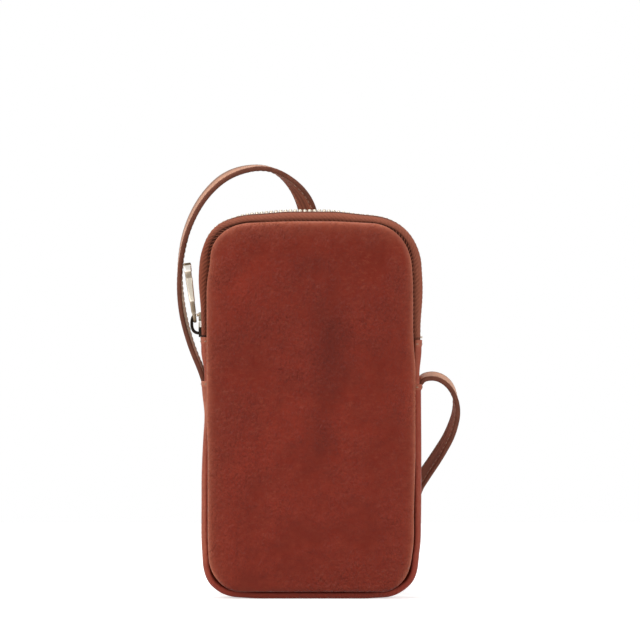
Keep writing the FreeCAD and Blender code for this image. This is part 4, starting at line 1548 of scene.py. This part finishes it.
class PouchStrap(bpy.types.Operator):
    """Makes the shoulder strap, its stitches and the tie round its coil"""
    bl_idname = "pouch.strap"
    bl_label = "Shoulder strap"

    def execute(self, context):
        sizes = context.scene.pouch_strap
        frames = strap_frames()
        strap = self.make_strap(sizes, frames)
        stitches = self.make_stitches(sizes, frames)
        tie = self.make_tie()
        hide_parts("strap_left", "strap_coil", "strap_right")
        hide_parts("strap_tie")
        for piece in (strap, tie, *stitches):
            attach(piece, "pouch")
        [list(mark[0]) for mark in frames]
        return {"FINISHED"}

    def make_strap(self, sizes, frames):
        """A flat band with slightly rounded faces and edges in edge paint, with a painted highlight on its
        inside near its left root.
        """
        half, thick = sizes.width / 2, sizes.thickness / 2
        # Shares of the half width and of the half thickness, round one face and one edge
        face = [(-0.80, 1.0), (-0.45, 1.04), (0.0, 1.06), (0.45, 1.04), (0.80, 1.0)]
        edge = [(0.88, 0.97), (0.94, 0.84), (0.98, 0.58), (1.0, 0.25)]
        edge += mirrored(edge)
        section = []
        for turn in (1, -1):
            for stretch, painted in ((face, 0.0), (edge, 1.0)):
                section += [(turn * wide, turn * deep, painted) for wide, deep in stretch]
        points = []
        pairs = []
        marks = {"edge": [], "inner": [], "suede": [], "rim": []}
        run = 0.0
        for index, (point, across, through) in enumerate(frames):
            run += (point - frames[max(0, index - 1)][0]).length
            inside = -1 if run < sizes.total / 2 else 1
            back = 1 if across.y > 0 else -1
            # Painted highlight on the inner face near the left root
            suede = fade(run, 0.045, 0.085)
            # The far rim is darker on the left. Known fault: along the back and in the coil the strap's
            # width hardly runs front to back, so there the darker rim changes sides.
            leftward = fade(point.x, -0.020, 0.010)
            for wide, deep, painted in section:
                points.append(point + across * (wide * half) + through * (deep * thick))
                pairs.append((run, wide * half))
                marks["edge"].append(painted)
                # Inner face: darker in its finish, partly as painted shade
                marks["inner"].append(1.0 if inside * deep > 0.9 else 0.0)
                marks["suede"].append(suede)
                marks["rim"].append(leftward * smooth_step(back * wide, -0.30, 0.70))
        mesh = mesh_from("shoulder_strap", points, tube_faces(len(frames), len(section)),
                         finish("strap_leather"), marks, pairs)
        return new_piece("shoulder_strap", mesh)

    def make_stitches(self, sizes, frames):
        """A row along each edge of both faces, coarser inside where the strap rises by the zip, and paler
        there as a painted highlight.
        """
        half = len(frames) // 2
        rise_end = next(index for index, mark in enumerate(frames) if mark[0].z > 0.172)
        rows = []
        for name, facing, first, height in (("strap_outer_stitches", 1, 0, 0.0002),
                                            ("strap_inner_stitches", -1, rise_end, 0.0004)):
            parts = ((frames[first:half], facing), (frames[half:], -facing))
            rows.append(self.stitch_rows(sizes, name, parts, (0.0018, 0.0006, height), "thread"))
        parts = ((frames[:rise_end], -1),)
        rows.append(self.stitch_rows(sizes, "strap_left_stitches", parts, (0.0021, 0.0009, 0.0006),
                                     "pale_thread"))
        return rows

    def stitch_rows(self, sizes, name, parts, stitch_size, material):
        """Stitches along both edges of the given stretches, each on the face that its sign names."""
        offset = sizes.width / 2 - sizes.stitch_inset
        lift = sizes.thickness / 2
        lines = []
        for edge in (-1, 1):
            for part, side in parts:
                lines.append([(point + across * (edge * offset) + through * (side * lift), through * side)
                              for point, across, through in part])
        return stitched(name, lines, sizes.stitch_pitch, stitch_size, material)

    def make_tie(self):
        """Narrow leather loop round the coil's layers."""
        low, high = TIE_LOW, TIE_HIGH - Vector((0.0, 0.0010, 0.0))
        wall = 0.0008
        corner = 0.0016
        middle_y, middle_z = (low.y + high.y) / 2, (low.z + high.z) / 2
        half_y, half_z = (high.y - low.y) / 2 - wall / 2, (high.z - low.z) / 2 - wall / 2
        marks = closed_outline(half_y, -half_z, half_z, corner, corner, 0.0008)
        section = oval_section(16, high.x, wall / 2, 0.3, 0.6)
        points = []
        for point, normal in marks:
            for across, out in section:
                place = point + normal * out
                points.append(Vector((across, middle_y + place.x, middle_z + place.z)))
        faces = ring_faces(len(marks), len(section), loop_rows=True)
        mesh = mesh_from("strap_tie_loop", points, faces, finish("strap_leather"))
        return new_piece("strap_tie_loop", mesh)


# Lining

# How far the lining of a panel stays inside the panel's outline
LINING_INSET = 0.0034


def lining_sheet(sizes, name, side):
    """Thin cotton sheet inside a panel, with a little slack; side is -1 for the front and 1 for the back."""
    inset = LINING_INSET
    marks = closed_outline(PANEL_HALF - inset, PANEL_LOW.z + inset, PANEL_HIGH.z - inset,
                           sizes.panel_base_radius - inset, sizes.panel_top_radius - inset, 0.0024)
    wall = FACE - sizes.leather
    thickness = 0.0005
    shares = [0.0, 0.02, 0.06, 0.12, 0.2, 0.3, 0.42, 0.56, 0.72, 0.88, 1.0]
    points = []
    for depth, order in ((wall - thickness, list(reversed(shares))), (wall, shares)):
        for share in order:
            for point, _ in marks:
                place = point.lerp(spine_point(point), share)
                slack = 0.00012 * (1 + waves(place.x, side + 3.0, place.z, 0.03))
                slack *= smooth_step(share, 0.0, 0.2)
                points.append(Vector((place.x, side * (depth - 0.0001 - slack), place.z)))
    faces = ring_faces(2 * len(shares), len(marks))
    return new_piece(name, mesh_from(name, points, faces, finish("lining_cotton")))


class PouchLining(bpy.types.Operator):
    """Makes the cotton lining of the panels and the gusset"""
    bl_idname = "pouch.lining"
    bl_label = "Lining"

    def execute(self, context):
        sizes = context.scene.pouch_body
        front = lining_sheet(sizes, "front_lining", -1)
        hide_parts("front_lining_lower", "front_lining_upper")
        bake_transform(front)
        back = lining_sheet(sizes, "back_lining_sheet", 1)
        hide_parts("back_lining")
        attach(back, "pouch")
        strip = self.gusset_strip(sizes)
        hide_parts("gusset_lining")
        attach(strip, "pouch")
        return {"FINISHED"}

    def gusset_strip(self, sizes):
        """Thin cotton strip inside the gusset."""
        inset = sizes.leather + 0.0002
        half = HALF_WIDTH - inset
        high = GUSSET_LINING_HIGH.z - inset
        run = drawn_in(base_run(half, high, high, sizes.outer_base_radius - inset, 0.002), base_draw)
        marks = [(point + Vector((0.0, 0.0, inset)), normal) for point, normal in run]
        steps = 8
        depths = [GUSSET_LINING_HIGH.y * (2 * step / steps - 1) for step in range(steps + 1)]
        strip = [(0.0, depth) for depth in depths] + [(0.0004, depth) for depth in reversed(depths)]
        mesh = swept_band("gusset_lining_strip", marks, lambda *mark: strip, finish("lining_cotton"))
        return new_piece("gusset_lining_strip", mesh)


# Stage

class PouchStage(bpy.types.Operator):
    """Makes the finishes, the pale floor, the light and the camera"""
    bl_idname = "pouch.stage"
    bl_label = "Stage"

    def execute(self, context):
        scene = context.scene
        colours = scene.pouch_colours
        panel_tones = (colours.panel, colours.panel_dark, colours.panel_light, colours.groove)
        gusset_tones = (colours.gusset, colours.gusset_dark, colours.gusset_light, colours.groove)
        leather_finish("panel_leather", panel_tones, gloss=0.42, grain=1.0, stains=PANEL_STAINS)
        leather_finish("gusset_leather", gusset_tones, gloss=0.44, grain=0.5, low_shade=0.7)
        strap_finish(colours)
        thread_finish("thread", colours.thread)
        thread_finish("pale_thread", colours.pale_thread)
        tape_finish(colours)
        metal_finish("zip_metal", colours, roughness=0.34, shade=0.85, shine=0.0)
        metal_finish("slider_metal", colours, roughness=0.16, shade=1.0, shine=0.45)
        lining_finish(colours)
        self.make_world(scene)
        self.make_floor()
        self.make_lights()
        self.make_camera(scene)
        scene.view_settings.view_transform = "Standard"
        return {"FINISHED"}

    def make_world(self, scene):
        """White to the camera and behind the object in reflections, dimmer in front, softer as light."""
        scene.world = bpy.data.worlds.new("studio")
        made = Nodes(scene.world, "Background")
        made.set("Color", (1.0, 1.0, 1.0, 1.0))
        heading = made.add("ShaderNodeTexCoord").outputs["Generated"]
        backward = made.add("ShaderNodeSeparateXYZ", Vector=heading).outputs["Y"]
        room = made.span(backward, -0.75, 0.15, 0.75, 1.0, course="SMOOTHSTEP")
        by_camera = made.add("ShaderNodeLightPath").outputs["Is Camera Ray"]
        shown = made.choose(by_camera, room, 1.0)
        light = 0.32
        made.set("Strength", made.choose(made.looked_at(), light, shown))

    def make_floor(self):
        """Pale floor that looks white where it is lit and keeps the shadow."""
        material = bpy.data.materials.new("pale_floor")
        made = Nodes(material)
        made.set("Base Color", (0.86, 0.86, 0.86, 1.0))
        made.set("Roughness", 0.9)
        made.set("Emission Color", (1.0, 1.0, 1.0, 1.0))
        glow = 0.62
        made.set("Emission Strength", made.maths("MULTIPLY", made.looked_at(), glow))
        mesh = bpy.data.meshes.new("floor")
        reach = 0.8
        mesh.from_pydata([(-reach, -reach, 0), (reach, -reach, 0), (reach, reach, 0), (-reach, reach, 0)],
                         [], [(0, 1, 2, 3)])
        mesh.materials.append(material)
        new_piece("floor", mesh)

    def make_lights(self):
        """Three soft lamps aimed at the pouch: place, size and power of each."""
        lamps = [("left_softbox", (-1.1, -1.0, 0.9), 1.0, 11.5),
                 ("right_softbox", (1.2, -0.9, 0.7), 0.9, 7.5),
                 ("top_softbox", (-0.2, 0.0, 1.5), 1.0, 9.0)]
        target = Vector((0.0, 0.0, 0.1))
        for name, place, size, power in lamps:
            lamp = bpy.data.lights.new(name, "AREA")
            lamp.size = size
            lamp.energy = power
            carrier = bpy.data.objects.new(name, lamp)
            carrier.location = place
            carrier.rotation_euler = (target - Vector(place)).to_track_quat("-Z", "Y").to_euler()
            bpy.context.scene.collection.objects.link(carrier)

    def make_camera(self, scene):
        """Long lens straight at the front, framed as a 640 by 640 picture."""
        frame_width = 0.3069
        middle_x, middle_z = 0.00414, 0.1332
        distance = 2.2
        lens = bpy.data.cameras.new("camera")
        lens.sensor_width = 36.0
        lens.lens = lens.sensor_width * distance / frame_width
        carrier = bpy.data.objects.new("camera", lens)
        carrier.location = (middle_x, -distance, middle_z)
        carrier.rotation_euler = (math.pi / 2, 0.0, 0.0)
        scene.collection.objects.link(carrier)
        scene.camera = carrier


# Panel in the sidebar and registration

OPERATORS = (PouchStage, PouchStrap, PouchPanels, PouchLining, PouchGusset, PouchZipTape, PouchZipTeeth,
             PouchSlider)
GROUPS = {"pouch_body": PouchBodySizes, "pouch_zip": PouchZipSizes, "pouch_strap": PouchStrapSizes,
          "pouch_colours": PouchColours}


class PouchSidebar(bpy.types.Panel):
    """Lists the pouch's pieces, sizes and colours"""
    bl_idname = "VIEW3D_PT_pouch"
    bl_label = "Phone pouch"
    bl_space_type = "VIEW_3D"
    bl_region_type = "UI"
    bl_category = "Pouch"

    def draw(self, context):
        for operator in OPERATORS:
            self.layout.operator(operator.bl_idname)
        for group in GROUPS:
            box = self.layout.box()
            values = getattr(context.scene, group)
            for key in values.__annotations__:
                box.prop(values, key)


def register():
    """Makes the classes and the scene's settings known to Blender."""
    for item in (*GROUPS.values(), *OPERATORS, PouchSidebar):
        bpy.utils.register_class(item)
    for name, group in GROUPS.items():
        setattr(bpy.types.Scene, name, bpy.props.PointerProperty(type=group))


def unregister():
    """Takes them away again."""
    for name in GROUPS:
        delattr(bpy.types.Scene, name)
    for item in reversed((*GROUPS.values(), *OPERATORS, PouchSidebar)):
        bpy.utils.unregister_class(item)


def main():
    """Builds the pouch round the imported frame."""
    register()
    bpy.ops.pouch.stage()
    bpy.ops.pouch.strap()
    bpy.ops.pouch.panels()
    bpy.ops.pouch.lining()
    bpy.ops.pouch.gusset()
    bpy.ops.pouch.zip_tape()
    bpy.ops.pouch.zip_teeth()
    bpy.ops.pouch.slider()
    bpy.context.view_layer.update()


if __name__ == "__main__":
    main()
